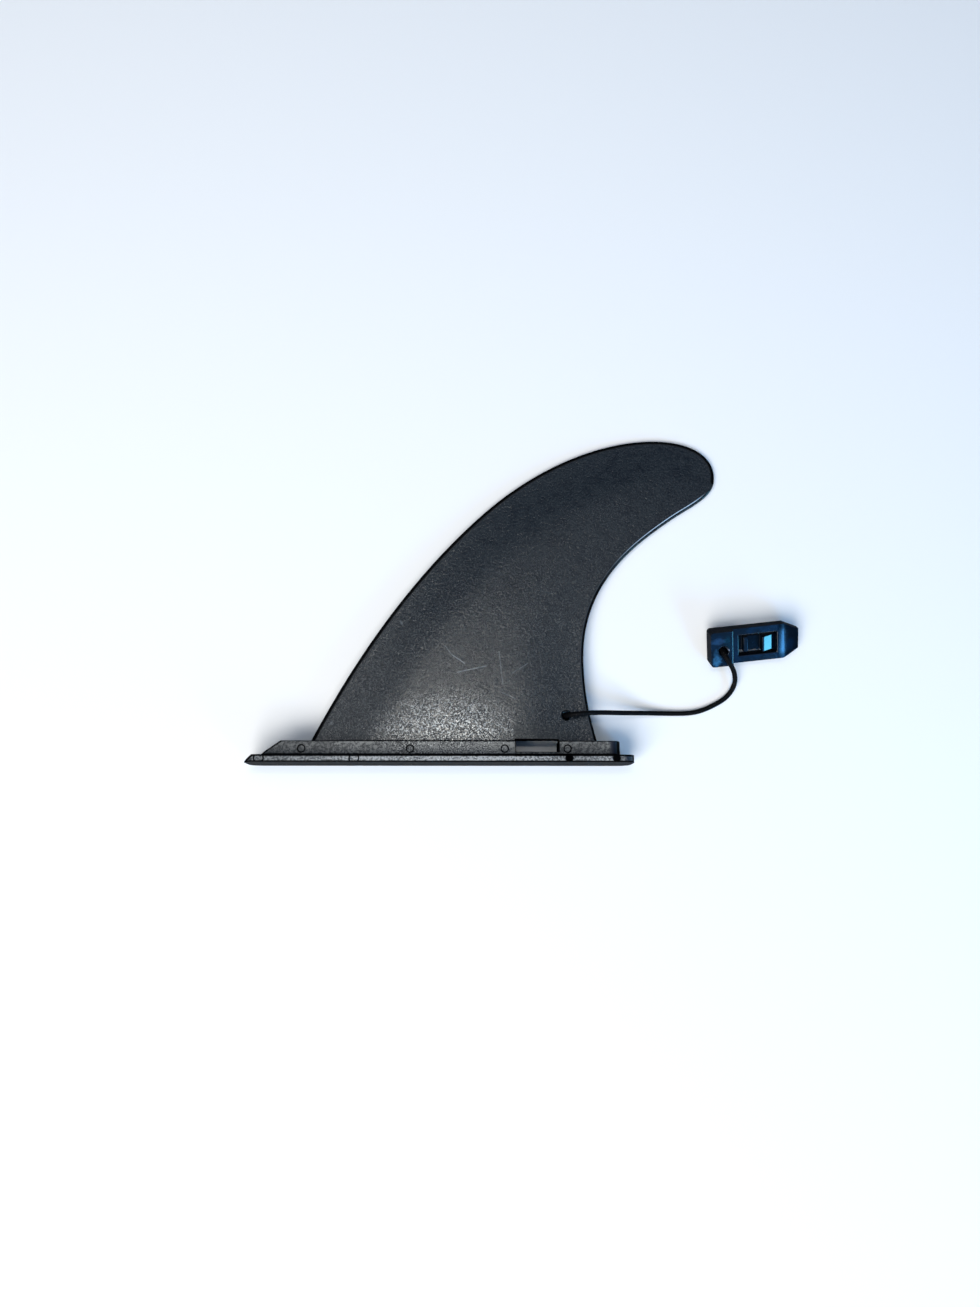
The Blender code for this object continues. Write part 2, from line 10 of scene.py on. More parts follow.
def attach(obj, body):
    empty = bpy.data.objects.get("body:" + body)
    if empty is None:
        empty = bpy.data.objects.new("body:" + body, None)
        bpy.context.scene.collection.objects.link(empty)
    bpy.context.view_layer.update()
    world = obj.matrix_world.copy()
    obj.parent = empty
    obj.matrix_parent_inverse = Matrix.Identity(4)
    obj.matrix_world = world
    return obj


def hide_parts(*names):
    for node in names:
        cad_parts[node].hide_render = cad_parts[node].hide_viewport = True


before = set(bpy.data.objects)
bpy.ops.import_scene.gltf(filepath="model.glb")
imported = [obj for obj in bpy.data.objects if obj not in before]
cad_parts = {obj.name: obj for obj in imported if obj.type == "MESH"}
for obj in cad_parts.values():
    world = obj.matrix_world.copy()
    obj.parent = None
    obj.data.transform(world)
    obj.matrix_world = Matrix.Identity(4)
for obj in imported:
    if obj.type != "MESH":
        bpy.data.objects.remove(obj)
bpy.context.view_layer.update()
mm = 0.001


# the camera's axes and place were fitted to the photo; places in mm
camera = {
    "place": (-15.7, -106.9, 546.0),
    "right": (0.99954, 0.0, 0.03031),
    "up": (-0.00418, 0.99044, 0.13789),
    "back": (-0.03002, -0.13795, 0.98998),
    "focalPixels": 980.0,
    "imageHeight": 1307.0,
    "sensor": 36.0,
    "clipStart": 0.01,
    "clipEnd": 20.0,
}


def addObject(name, data):
    made = bpy.data.objects.new(name, data)
    bpy.context.scene.collection.objects.link(made)
    return made


def makeCamera(s):
    data = bpy.data.cameras.new("photoCamera")
    data.sensor_width = s["sensor"]
    data.lens = s["sensor"] * s["focalPixels"] / s["imageHeight"]
    data.clip_start, data.clip_end = s["clipStart"], s["clipEnd"]
    made = addObject("photoCamera", data)
    axes = Matrix((s["right"], s["up"], s["back"])).transposed().to_4x4()
    made.matrix_world = Matrix.Translation(Vector(s["place"]) * mm) @ axes
    bpy.context.scene.camera = made


makeCamera(camera)
print("camera placed")


def smoothStep(share):
    # 3s^2 - 2s^3, held at 0 and 1 outside the range
    s = np.clip(share, 0.0, 1.0)
    return s * s * (3.0 - 2.0 * s)


def meshFromArrays(name, points, quads, caps=()):
    # points (n, 3) and quads (m, 4) go in as whole arrays; caps are rings of indices closed by one face
    faces = [tuple(q) for q in quads.tolist()] + [tuple(int(i) for i in cap) for cap in caps]
    mesh = bpy.data.meshes.new(name)
    mesh.from_pydata(points.tolist(), [], faces)
    mesh.validate()
    mesh.update()
    return mesh


def gridQuads(rows, columns, closedRows=False, closedColumns=False):
    # quad (i, j) joins grid points i, i+1 along the rows and j, j+1 along the columns
    i = np.arange(rows if closedRows else rows - 1)
    j = np.arange(columns if closedColumns else columns - 1)
    i, j = np.meshgrid(i, j, indexing="ij")
    k, m = (i + 1) % rows, (j + 1) % columns
    return np.stack([i * columns + j, i * columns + m, k * columns + m, k * columns + j], axis=-1).reshape(-1, 4)


def meshColumns(mesh, what):
    # one row of three numbers per point: its place "co" or its "normal"
    flat = np.empty(3 * len(mesh.vertices))
    mesh.vertices.foreach_get(what, flat)
    return flat.reshape(-1, 3)


def keepValues(mesh, **columns):
    # one number per point under each name, for the finish to read
    for name, values in columns.items():
        kept = mesh.attributes.new(name, "FLOAT", "POINT")
        kept.data.foreach_set("value", np.array(values))


def outwards(piece):
    # merges doubles, then points every face out of the closed shell
    form = bmesh.new()
    form.from_mesh(piece.data)
    bmesh.ops.remove_doubles(form, verts=form.verts, dist=1e-7)
    bmesh.ops.recalc_face_normals(form, faces=form.faces)
    form.to_mesh(piece.data)
    form.free()
    return piece


def shell(name, points, quads, caps=()):
    return outwards(addObject(name, meshFromArrays(name, points, quads, caps)))


def modify(piece, kind, **values):
    # one modifier, baked into the piece's mesh
    step = piece.modifiers.new(kind, kind)
    for name, value in values.items():
        setattr(step, name, value)
    graph = bpy.context.evaluated_depsgraph_get()
    graph.update()
    done = bpy.data.meshes.new_from_object(piece.evaluated_get(graph))
    piece.modifiers.clear()
    old = piece.data
    piece.data = done
    bpy.data.meshes.remove(old)
    return piece


def bevel(piece, width, segments, angle):
    limit = math.radians(angle)
    return modify(piece, "BEVEL", width=width, segments=segments, limit_method="ANGLE", angle_limit=limit)


def shadeFlats(piece, angle):
    # smooth shading up to an angle; wide faces hold their own normals and the roundings take the turn
    piece.data.shade_smooth()
    piece.data.set_sharp_from_angle(angle=math.radians(angle))
    return modify(piece, "WEIGHTED_NORMAL", keep_sharp=True)


def combine(piece, tool, operation):
    # exact join or cut, after which the tool is gone
    modify(piece, "BOOLEAN", operation=operation, solver="EXACT", object=tool)
    bpy.data.objects.remove(tool, do_unlink=True)
    return piece


def slicePiece(piece, point, normal):
    # cuts off what lies on the normal's side of a plane and closes the cut
    form = bmesh.new()
    form.from_mesh(piece.data)
    whole = form.verts[:] + form.edges[:] + form.faces[:]
    cut = bmesh.ops.bisect_plane(form, geom=whole, dist=1e-8, plane_co=point, plane_no=normal, clear_outer=True)
    edges = [e for e in cut["geom_cut"] if isinstance(e, bmesh.types.BMEdge)]
    bmesh.ops.contextual_create(form, geom=edges)
    form.to_mesh(piece.data)
    form.free()
    return piece


def roundedOutline(start, end, half, radius, steps=10):
    # rectangle with quarter circles of one radius: (x, w) pairs, anticlockwise
    turn = np.linspace(0.0, 0.5 * math.pi, steps + 1)
    corners = ((end, half, 0), (start, half, 1), (start, -half, 2), (end, -half, 3))
    pairs = []
    for x, w, quarter in corners:
        angle = turn + quarter * 0.5 * math.pi
        centreX = x - radius if x == end else x + radius
        centreW = w - radius if w > 0 else w + radius
        pairs.append(np.column_stack([centreX + radius * np.cos(angle), centreW + radius * np.sin(angle)]))
    return np.vstack(pairs)


def prism(name, outline, low, high):
    # the (x, z) outline carried along y from low to high
    count = len(outline)
    rings = [np.column_stack([outline[:, 0], np.full(count, level), outline[:, 1]]) for level in (low, high)]
    caps = (range(count), range(count, 2 * count))
    return shell(name, np.vstack(rings), gridQuads(2, count, closedColumns=True), caps)


def lifted(flat, level):
    return np.column_stack([flat, np.full(len(flat), level)])


def circle(centre, radius, count):
    # (x, y) = centre + radius (cos a, sin a)
    angle = np.linspace(0.0, 2.0 * math.pi, count, endpoint=False)
    return np.column_stack([centre[0] + radius * np.cos(angle), centre[1] + radius * np.sin(angle)])


def trumpetCutter(name, ringAt, levels, flare):
    # stack of rings; a ring grows by its flare, so that the cut's mouth comes out rounded
    rings = np.stack([ringAt(level, grow) for level, grow in zip(levels, flare)])
    rows, count = rings.shape[:2]
    caps = (range(count), range((rows - 1) * count, rows * count))
    return shell(name, rings.reshape(-1, 3), gridQuads(rows, count, closedColumns=True), caps)


def mouthLevels(side, lip, reach, steps=5):
    # levels and flares for a hole through a plate of half thickness side with mouths rounded by lip
    angle = np.linspace(0.0, 0.5 * math.pi, steps + 1)
    level = side - lip + lip * np.sin(angle)
    grow = lip * (1.0 - np.cos(angle))
    level = np.concatenate((level, [reach]))
    grow = np.concatenate((grow, [lip + (reach - side)]))
    return np.concatenate((-level[::-1], level)), np.concatenate((grow[::-1], grow))


def roundCutter(name, centre, bore, side, lip, reach, middle=0.0, count=48):
    # circle carried along the thickness, from the level of the plate's middle, with flared mouths
    def ring(level, grow):
        return lifted(circle(centre, 0.5 * bore + grow, count), middle + level)

    return trumpetCutter(name, ring, *mouthLevels(side, lip, reach))


def boxCutter(name, start, end, half, corner, side, lip, reach, centre=0.0, middle=0.0, steps=5):
    # rounded rectangle carried along the thickness with flared mouths; centre is its middle across
    def ring(level, grow):
        flat = roundedOutline(start - grow, end + grow, half + grow, corner + grow, steps)
        return lifted(flat + np.array((0.0, centre)), middle + level)

    return trumpetCutter(name, ring, *mouthLevels(side, lip, reach))


# the fin's own frame: x along the base, y up the blade, z through the thickness; mm and degrees
fin = {
    "origin": (-130.28, -92.93, 12.69), "tilt": 3.4904, "baseLength": 208.0,
    "flangeWidth": 25.0, "flangeThickness": 4.0, "flangeCorner": 6.3, "flangeNoseRun": 4.8,
    "neckFront": 7.3, "neckRear": 201.1, "neckWidth": 14.0, "neckHeight": 7.9, "neckCorner": 5.0,
    "neckRampRun": 11.4,
    "noseFoot": 0.5, "flangeRound": 0.8, "neckRound": 0.6, "roundSteps": 4, "roundAngle": 35.0, "smoothAngle": 32.0,
    "slotStart": 144.4, "slotLength": 23.3, "slotBottom": 6.0, "slotHeight": 6.9, "slotCorner": 0.5,
    "slotLip": 0.3, "slotReach": 9.0, "slotSteps": 4,
    "bladeFront": 32.2, "bladeReach": 260.3, "bladeTop": 187.0, "rootHeight": 9.0,
    "leading": ((0, 0), (0.036, 0.085), (0.164, 0.439), (0.406, 0.734), (0.685, 1.075), (1.025, 1.055), (1.0, 0.86)),
    "trailing": (
        (0.692, 0), (0.682, 0.049), (0.6594, 0.135), (0.6594, 0.271), (0.6594, 0.517),
        (0.789, 0.642), (0.886, 0.73), (0.9365, 0.7755), (0.993, 0.806), (1.0, 0.86),
    ),
    "rootHalf": 4.3, "tipHalf": 2.1, "edgeHalf": 1.4, "edgeRounding": 1.5, "leadingBevel": 32.0,
    "trailingBevel": 38.0,
    "rows": 170, "edgeColumns": 7, "middleColumns": 44,
    "hole": (172.7, 26.4), "holeBore": 5.6, "holeLip": 0.35, "holeSide": 2.08, "holeReach": 6.0,
    "neckMarks": (29.9, 87.8, 138.5, 172.3), "neckMarkHeight": 7.6, "neckMarkBore": 3.9,
    "flangeMarks": (8.6, 58.6, 172.6, 197.8), "flangeMarkBore": 3.4, "markDepth": 0.22,
    # growth of the bore and share of the depth, from the mouth to the floor
    "markRings": ((0.1, 1.0), (0.0, 0.0), (-0.08, -0.7), (-0.3, -1.0)), "markSides": 36,
}


def edgeCurve(pairs, steps=60):
    # cubic Bezier spans through every third pair of shares of the blade's reach and height
    low = np.array((fin["bladeFront"], fin["rootHeight"]))
    high = np.array((fin["bladeReach"], fin["bladeTop"]))
    controls = low + np.array(pairs, float) * (high - low)
    t = np.linspace(0.0, 1.0, steps)[:, None]
    s = 1.0 - t
    spans = [controls[:1]]
    for start in range(0, len(controls) - 1, 3):
        a, b, c, d = controls[start:start + 4]
        spans.append((s**3 * a + 3 * s * s * t * b + 3 * s * t * t * c + t**3 * d)[1:])
    return np.vstack(spans)


def lengthAlong(points):
    return np.concatenate(([0.0], np.cumsum(np.linalg.norm(np.diff(points, axis=0), axis=1))))


def along(points, shares):
    # the points at shares of a line's length
    reach = lengthAlong(points)
    wanted = np.asarray(shares) * reach[-1]
    return np.stack([np.interp(wanted, reach, column) for column in points.T], axis=1)


def distanceTo(points, line):
    # shortest distance from each point to a line of points, 4000 points at a time
    start, step = line[:-1], np.diff(line, axis=0)
    length = (step * step).sum(axis=1)
    found = []
    for begin in range(0, len(points), 4000):
        offset = points[begin:begin + 4000, None, :] - start[None]
        share = np.clip((offset * step).sum(axis=2) / length, 0.0, 1.0)
        found.append(np.linalg.norm(offset - share[..., None] * step, axis=2).min(axis=1))
    return np.concatenate(found)


def halfThickness(points, leading, trailing):
    # foil: edge + (middle - edge) x S(dLE / bevel) x S(dTE / bevel), rounded by a quarter circle at both edges
    toLeading, toTrailing = distanceTo(points, leading), distanceTo(points, trailing)
    middle = fin["rootHalf"] + (fin["tipHalf"] - fin["rootHalf"]) * np.clip(points[:, 1] / fin["bladeTop"], 0, 1)
    full = smoothStep(toLeading / fin["leadingBevel"]) * smoothStep(toTrailing / fin["trailingBevel"])
    foil = fin["edgeHalf"] + (middle - fin["edgeHalf"]) * full
    inside = np.clip(1.0 - np.minimum(toLeading, toTrailing) / fin["edgeRounding"], 0.0, 1.0)
    return foil * np.sqrt(1.0 - inside * inside)


def bladePiece():
    # grid of chord stations (rows) by places across the chord (columns), upper and lower side in one loop
    leading, trailing = edgeCurve(fin["leading"]), edgeCurve(fin["trailing"])
    shares = np.sin(0.5 * math.pi * np.linspace(0.0, 1.0, fin["rows"] + 1))[:-1]
    front, rear = along(leading, shares), along(trailing, shares)
    chord = np.linalg.norm(rear - front, axis=1)
    turn = np.linspace(0.0, 0.5 * math.pi, fin["edgeColumns"])[1:]
    near = np.minimum(fin["edgeRounding"], 0.2 * chord)[:, None] * (1.0 - np.cos(turn)) / chord[:, None]
    last = near[:, -1:]
    middle = last + (1.0 - 2.0 * last) * np.linspace(0.0, 1.0, fin["middleColumns"] + 2)[1:-1]
    nought = np.zeros((len(chord), 1))
    across = np.hstack([nought, near, middle, 1.0 - near[:, ::-1], nought + 1.0])
    plan = front[:, None, :] + (rear - front)[:, None, :] * across[..., None]
    half = halfThickness(plan.reshape(-1, 2), leading, trailing).reshape(across.shape)
    half[:, [0, -1]] = 0.0
    upper = np.dstack([plan, half])
    lower = np.dstack([plan, -half])[:, -2:0:-1]
    loop = np.concatenate([upper, lower], axis=1)
    rows, columns = loop.shape[:2]
    points = np.vstack([loop.reshape(-1, 3), [[*leading[-1], 0.0]]])
    tip = rows * columns
    j = np.arange(columns)
    last = tip - columns
    fan = [(int(last + a), int(last + (a + 1) % columns), tip) for a in j]
    quads = gridQuads(rows, columns, closedColumns=True)
    return shell("blade", points, quads, [tuple(j), *fan])


def markCutter(centre, side, bore):
    # shallow dish: rings from over the side's face down to its floor
    count = fin["markSides"]
    rings = [
        lifted(circle(centre, 0.5 * bore + grow, count), side + share * fin["markDepth"])
        for grow, share in fin["markRings"]
    ]
    caps = (range(count), range(3 * count, 4 * count))
    return shell("markCut", np.vstack(rings), gridQuads(4, count, closedColumns=True), caps)


def finToWorld():
    lift = Matrix.Translation(Vector(fin["origin"]) * mm)
    return lift @ Matrix.Rotation(math.radians(-fin["tilt"]), 4, "X") @ Matrix.Scale(mm, 4)


def makeFin(s):
    thick, neckTop = s["flangeThickness"], s["flangeThickness"] + s["neckHeight"]
    half = 0.5 * s["flangeWidth"]
    flange = prism("flange", roundedOutline(0.0, s["baseLength"], half, s["flangeCorner"]), 0.0, thick)
    slope = Vector((-thick, s["flangeNoseRun"], 0.0)).normalized()
    slicePiece(flange, Vector((s["noseFoot"], s["noseFoot"], 0.0)), slope)
    bevel(flange, s["flangeRound"], s["roundSteps"], s["roundAngle"])
    half = 0.5 * s["neckWidth"]
    outline = roundedOutline(s["neckFront"], s["neckRear"], half, s["neckCorner"])
    neck = prism("neck", outline, 0.5 * thick, neckTop)
    ramp = Vector((-s["neckHeight"], s["neckRampRun"], 0.0)).normalized()
    slicePiece(neck, Vector((s["neckFront"], thick, 0.0)), ramp)
    bevel(neck, s["neckRound"], s["roundSteps"], s["roundAngle"])
    piece = combine(neck, flange, "UNION")
    combine(piece, bladePiece(), "UNION")
    start, high = s["slotStart"], 0.5 * s["slotHeight"]
    slot = boxCutter(
        "slotCut", start, start + s["slotLength"], high, s["slotCorner"], half, s["slotLip"], s["slotReach"],
        centre=s["slotBottom"] + high, steps=s["slotSteps"],
    )
    combine(piece, slot, "DIFFERENCE")
    hole = roundCutter("holeCut", s["hole"], s["holeBore"], s["holeSide"], s["holeLip"], s["holeReach"])
    combine(piece, hole, "DIFFERENCE")
    for places, height, width, bore in (
        (s["neckMarks"], s["neckMarkHeight"], s["neckWidth"], s["neckMarkBore"]),
        (s["flangeMarks"], 0.5 * thick, s["flangeWidth"], s["flangeMarkBore"]),
    ):
        for x in places:
            combine(piece, markCutter((x, height), 0.5 * width, bore), "DIFFERENCE")
    piece.name = "fin_moulding"
    outwards(piece)
    measureFin(piece.data)
    piece.data.transform(finToWorld())
    return shadeFlats(piece, s["smoothAngle"])


def measureFin(mesh):
    # each point's distance from the blade's two edges and its place in the fin's own frame, in mm
    points = meshColumns(mesh, "co")
    toLeading, toTrailing = (distanceTo(points[:, :2], edgeCurve(fin[edge], 24)) for edge in ("leading", "trailing"))
    keepValues(mesh, fromLeading=toLeading, fromTrailing=toTrailing, finHeight=points[:, 1], finAlong=points[:, 0])


finPiece = makeFin(fin)
print("fin moulded:", len(finPiece.data.polygons), "faces")


# the clip's own frame: x along, y across, z up from the flat underside; mm and degrees
clip = {
    "place": (122.7, -26.3), "turn": 6.2, "roll": 28.0, "pitch": -2.0,
    "length": 50.6, "width": 20.2, "tongueThickness": 6.0,
    "headLength": 12.8, "headRise": 3.4, "headCorner": 1.8, "headRound": 1.1, "headSteps": 8,
    "edgeRound": 0.5, "edgeSteps": 4, "roundAngle": 24.0, "smoothAngle": 28.0,
    "noseChamferRun": 8.8, "noseChamferDepth": 4.4, "noseSlopeRun": 7.7, "noseThickness": 3.7, "noseEase": 4.4,
    "windowStart": 16.4, "windowLength": 21.4, "windowWidth": 12.2, "windowCorner": 0.6, "windowLip": 0.5,
    "cutterReach": 1.5,
    "latchWidth": 8.6, "latchGap": 3.0, "armBottom": 0.8, "armThickness": 2.2, "toeRun": 2.5, "toeThickness": 0.8,
    "lipLength": 2.3, "lipRise": 2.2, "toothHeight": 1.5, "lockFace": 12.8, "toothTop": 0.9, "toothRun": 7.6,
    "rootLap": 0.8, "rootRise": 0.6, "latchRound": 0.22, "latchSteps": 3,
    "hole": (7.2, -0.9), "holeBore": 5.4, "holeLip": 0.45,
}


def noseArc(s, count=9):
    # quadratic curve that eases the flat tongue into the nose's slope, from the slope's side
    top, reach = s["tongueThickness"], s["noseEase"]
    corner = np.array((s["length"] - s["noseSlopeRun"], top))
    down = np.array((s["noseSlopeRun"], s["noseThickness"] - top))
    after = corner + down / np.linalg.norm(down) * reach
    before = corner - np.array((reach, 0.0))
    t = np.linspace(0.0, 1.0, count)[:, None]
    return [tuple(p) for p in (1 - t) ** 2 * after + 2 * t * (1 - t) * corner + t**2 * before]


def headArc(s, count=6):
    # quarter circle on the head's upper edge over the step, from the step upwards
    radius, top = s["headRound"], s["tongueThickness"] + s["headRise"]
    angle = np.linspace(0.0, 0.5 * math.pi, count)
    x, z = s["headLength"] - radius + radius * np.cos(angle), top - radius + radius * np.sin(angle)
    return list(zip(x, z))


def layClip(piece, s):
    # turned onto its lower long edge, then set down so that its lowest point touches the table
    turn = (
        Matrix.Rotation(math.radians(s["turn"]), 4, "Z")
        @ Matrix.Rotation(math.radians(s["pitch"]), 4, "Y")
        @ Matrix.Rotation(math.radians(s["roll"]), 4, "X")
    )
    piece.data.transform(turn)
    lowest = meshColumns(piece.data, "co")[:, 2].min()
    piece.data.transform(Matrix.Scale(mm, 4) @ Matrix.Translation((*s["place"], -lowest)))


def clipBody(s):
    # side profile carried across, its nose chamfered, the head's upright edges rounded
    top, head = s["tongueThickness"], s["tongueThickness"] + s["headRise"]
    length, half = s["length"], 0.5 * s["width"]
    nose = [(length, s["noseThickness"]), *noseArc(s)]
    profile = [(0.0, 0.0), (length, 0.0), *nose, (s["headLength"], top), *headArc(s), (0.0, head)]
    body = prism("clipBody", np.array(profile), -half, half)
    run, depth = s["noseChamferRun"], s["noseChamferDepth"]
    for side in (1.0, -1.0):
        slicePiece(body, Vector((length - run, side * half, 0.0)), Vector((depth, side * run, 0.0)).normalized())
    form = bmesh.new()
    form.from_mesh(body.data)
    ends = [(e, e.verts[0].co, e.verts[1].co) for e in form.edges]
    posts = [e for e, a, b in ends if abs(a.z - b.z) > 0.5 * head and max(a.x, b.x) < 0.5]
    turn = {"offset": s["headCorner"], "offset_type": "OFFSET", "segments": s["headSteps"], "profile": 0.5}
    bmesh.ops.bevel(form, geom=posts, affect="EDGES", **turn)
    form.to_mesh(body.data)
    form.free()
    return bevel(body, s["edgeRound"], s["edgeSteps"], s["roundAngle"])


def latchPiece(s, start, end, top):
    # arm, finger lip and ramped tooth in one side profile, between the window's ends
    root, free, face = end + s["rootLap"], start + s["latchGap"], start + s["lockFace"]
    bottom = s["armBottom"]
    floor, toe = bottom + s["armThickness"], bottom + s["toeThickness"]
    lip, crest, heel = floor + s["lipRise"], top + s["toothHeight"], floor + s["rootRise"]
    toeEnd, lipEnd, toothEnd = free - s["toeRun"], free + s["lipLength"], face + s["toothTop"]
    profile = [
        (root, bottom), (toeEnd, bottom), (toeEnd, toe), (free, toe), (free, lip), (lipEnd, lip), (lipEnd, floor),
        (face, floor), (face, crest), (toothEnd, crest), (toothEnd + s["toothRun"], heel), (root, heel),
    ]
    half = 0.5 * s["latchWidth"]
    latch = prism("latch", np.array(profile), -half, half)
    return bevel(latch, s["latchRound"], s["latchSteps"], s["roundAngle"])


def makeClip(s):
    top, head = s["tongueThickness"], s["tongueThickness"] + s["headRise"]
    body = clipBody(s)
    start, end, middle = s["windowStart"], s["windowStart"] + s["windowLength"], 0.5 * top
    window = boxCutter(
        "windowCut", start, end, 0.5 * s["windowWidth"], s["windowCorner"], middle, s["windowLip"],
        middle + s["cutterReach"], middle=middle,
    )
    combine(body, window, "DIFFERENCE")
    combine(body, latchPiece(s, start, end, top), "UNION")
    middle = 0.5 * head
    reach = middle + s["cutterReach"]
    hole = roundCutter("clipHoleCut", s["hole"], s["holeBore"], middle, s["holeLip"], reach, middle)
    combine(body, hole, "DIFFERENCE")
    body.name = "clip_moulding"
    outwards(body)
    measureClip(body.data)
    layClip(body, s)
    return shadeFlats(body, s["smoothAngle"])


def measureClip(mesh):
    # each point's place in the clip's own frame, in mm, and how far it faces up: 1 on faces, 0 on walls
    points = meshColumns(mesh, "co")
    keepValues(mesh, faceUp=meshColumns(mesh, "normal")[:, 2])
    keepValues(mesh, clipAlong=points[:, 0], clipAcross=points[:, 1], clipHeight=points[:, 2])


clipPiece = makeClip(clip)
print("clip moulded:", len(clipPiece.data.polygons), "faces")


# the tether cord and its knots; route in the frame's own mm
cord = {
    "diameter": 2.6,
    "crest": 0.09,
    "bumps": 6,
    "braidPitch": 2.3, "braidDepth": 0.11,
    "ringSpacing": 0.2,
    "sides": 42,
    "route": (
        (42.3, -66.8, 8.9), (42.3, -66.7, 11.2), (42.4, -66.6, 13.4), (43.6, -66.5, 16.0), (46.3, -66.2, 17.9),
        (50.0, -65.8, 18.2), (54.8, -65.4, 16.7), (60.5, -65.1, 14.4), (67.0, -64.9, 11.6), (74.0, -64.8, 8.7),
        (82.0, -64.6, 5.7), (90.0, -64.5, 3.4), (98.0, -64.5, 1.9), (106.0, -64.5, 1.4), (113.5, -64.1, 1.4),
        (120.4, -62.4, 1.4), (126.5, -59.7, 1.4), (131.6, -56.7, 1.5), (135.2, -53.3, 2.0), (137.1, -49.8, 3.6),
        (137.6, -46.3, 6.0), (135.5, -39.9, 9.6), (133.4, -37.9, 12.5), (131.6, -35.7, 14.3), (130.0, -32.9, 14.2),
        (129.2, -29.9, 11.9), (129.2, -27.9, 8.6), (129.8, -26.4, 4.5),
    ),
}


def splineThrough(route, spacing, finePerPoint=60):
    # natural cubic spline over chord length, read at even steps of its own length
    points = np.array(route)
    reach = lengthAlong(points)
    gaps = np.linalg.norm(np.diff(points, axis=0), axis=1)
    count = len(points)
    system = np.eye(count)
    inner = np.arange(1, count - 1)
    system[inner, inner - 1] = gaps[:-1]
    system[inner, inner] = 2.0 * (gaps[:-1] + gaps[1:])
    system[inner, inner + 1] = gaps[1:]
    slope = np.diff(points, axis=0) / gaps[:, None]
    target = np.zeros_like(points)
    target[1:-1] = 6.0 * np.diff(slope, axis=0)
    bend = np.linalg.solve(system, target)
    fine = np.linspace(0.0, reach[-1], finePerPoint * count)
    span = np.clip(np.searchsorted(reach, fine, side="right") - 1, 0, count - 2)
    width = gaps[span][:, None]
    right = (fine - reach[span])[:, None] / width
    left = 1.0 - right
    line = left * points[span] + right * points[span + 1]
    line = line + ((left**3 - left) * bend[span] + (right**3 - right) * bend[span + 1]) * width**2 / 6.0
    total = lengthAlong(line)[-1]
    return along(line, np.linspace(0.0, 1.0, max(8, int(round(total / spacing))) + 1)), total


def carriedFrames(line, closed=False):
    # a side direction at each point, turned along the line as little as possible
    step = np.roll(line, -1, axis=0) - np.roll(line, 1, axis=0)
    if not closed:
        step[0] = line[1] - line[0]
        step[-1] = line[-1] - line[-2]
    tangent = step / np.linalg.norm(step, axis=1)[:, None]
    side = np.zeros_like(line)
    first = np.cross(tangent[0], (0.0, 0.0, 1.0) if abs(tangent[0][2]) < 0.9 else (1.0, 0.0, 0.0))
    side[0] = first / np.linalg.norm(first)
    for i in range(1, len(line)):
        moved = side[i - 1] - tangent[i] * (side[i - 1] @ tangent[i])
        side[i] = moved / np.linalg.norm(moved)
    return side, np.cross(tangent, side)


def braidTube(name, line, radius, closed=False):
    # radius x (1 - depth x (1 - diamond)), diamond = half + half cos(a) cos(b) with a, b the two helices' phases
    side, other = carriedFrames(line, closed)
    around = np.linspace(0.0, 2.0 * math.pi, cord["sides"], endpoint=False)
    turn = cord["bumps"] * around[None, :]
    run = (math.pi * lengthAlong(line) / cord["braidPitch"])[:, None]
    diamond = 0.5 + 0.5 * np.cos(turn + 2.0 * run) * np.cos(turn - 2.0 * run)
    reach = radius - cord["braidDepth"] * (1.0 - diamond)
    ring = np.cos(around)[None, :, None] * side[:, None, :] + np.sin(around)[None, :, None] * other[:, None, :]
    points = line[:, None, :] + ring * reach[..., None]
    rows, columns = points.shape[:2]
    quads = gridQuads(rows, columns, closedRows=closed, closedColumns=True)
    caps = () if closed else (range(columns), range((rows - 1) * columns, rows * columns))
    mesh = meshFromArrays(name, points.reshape(-1, 3) * mm, quads, caps)
    keepValues(mesh, braidRise=diamond.reshape(-1))
    piece = outwards(addObject(name, mesh))
    piece.data.shade_smooth()
    return piece


cordLine, cordLength = splineThrough(cord["route"], cord["ringSpacing"])
cordRadius = 0.5 * cord["diameter"] + cord["crest"]
cordLine[:, 2] = np.maximum(cordLine[:, 2], cordRadius)  # on the table, not in it
cordPiece = braidTube("tether_braid", cordLine, cordRadius)
print("cord laid:", round(cordLength, 1), "mm")


knots = {
    "fin": {"centre": (42.6, -66.9, 5.815), "radii": (3.6, 3.2, 2.89), "tube": 1.15, "axis": (0.0, 0.0609, 0.9981)},
    "clip": {"centre": (129.9, -23.8, 2.6), "radii": (3.5, 3.2, 2.2), "tube": 1.1, "axis": (0.03, -0.469, 0.883)},
}


def knotLine(s, count=360):
    # trefoil (sin t + 2 sin 2t, cos t - 2 cos 2t, -sin 3t), scaled into the knot's box and stood on its axis
    t = np.linspace(0.0, 2.0 * math.pi, count, endpoint=False)
    flat = np.stack([np.sin(t) + 2.0 * np.sin(2.0 * t), np.cos(t) - 2.0 * np.cos(2.0 * t), -np.sin(3.0 * t)], axis=1)
    room = np.array(s["radii"]) - s["tube"]
    flat = flat * room / np.array((3.0, 3.0, 1.0))  # the curve's own reach
    turn = Vector((0.0, 0.0, 1.0)).rotation_difference(Vector(s["axis"])).to_matrix()
    line = flat @ np.array(turn).T + np.array(s["centre"])
    line[:, 2] += max(0.0, s["tube"] - line[:, 2].min())  # lies on the table, not in it
    return line


finKnot = braidTube("fin_stopper_knot", knotLine(knots["fin"]), knots["fin"]["tube"], closed=True)
clipKnot = braidTube("clip_stopper_knot", knotLine(knots["clip"]), knots["clip"]["tube"], closed=True)
print("knots tied")


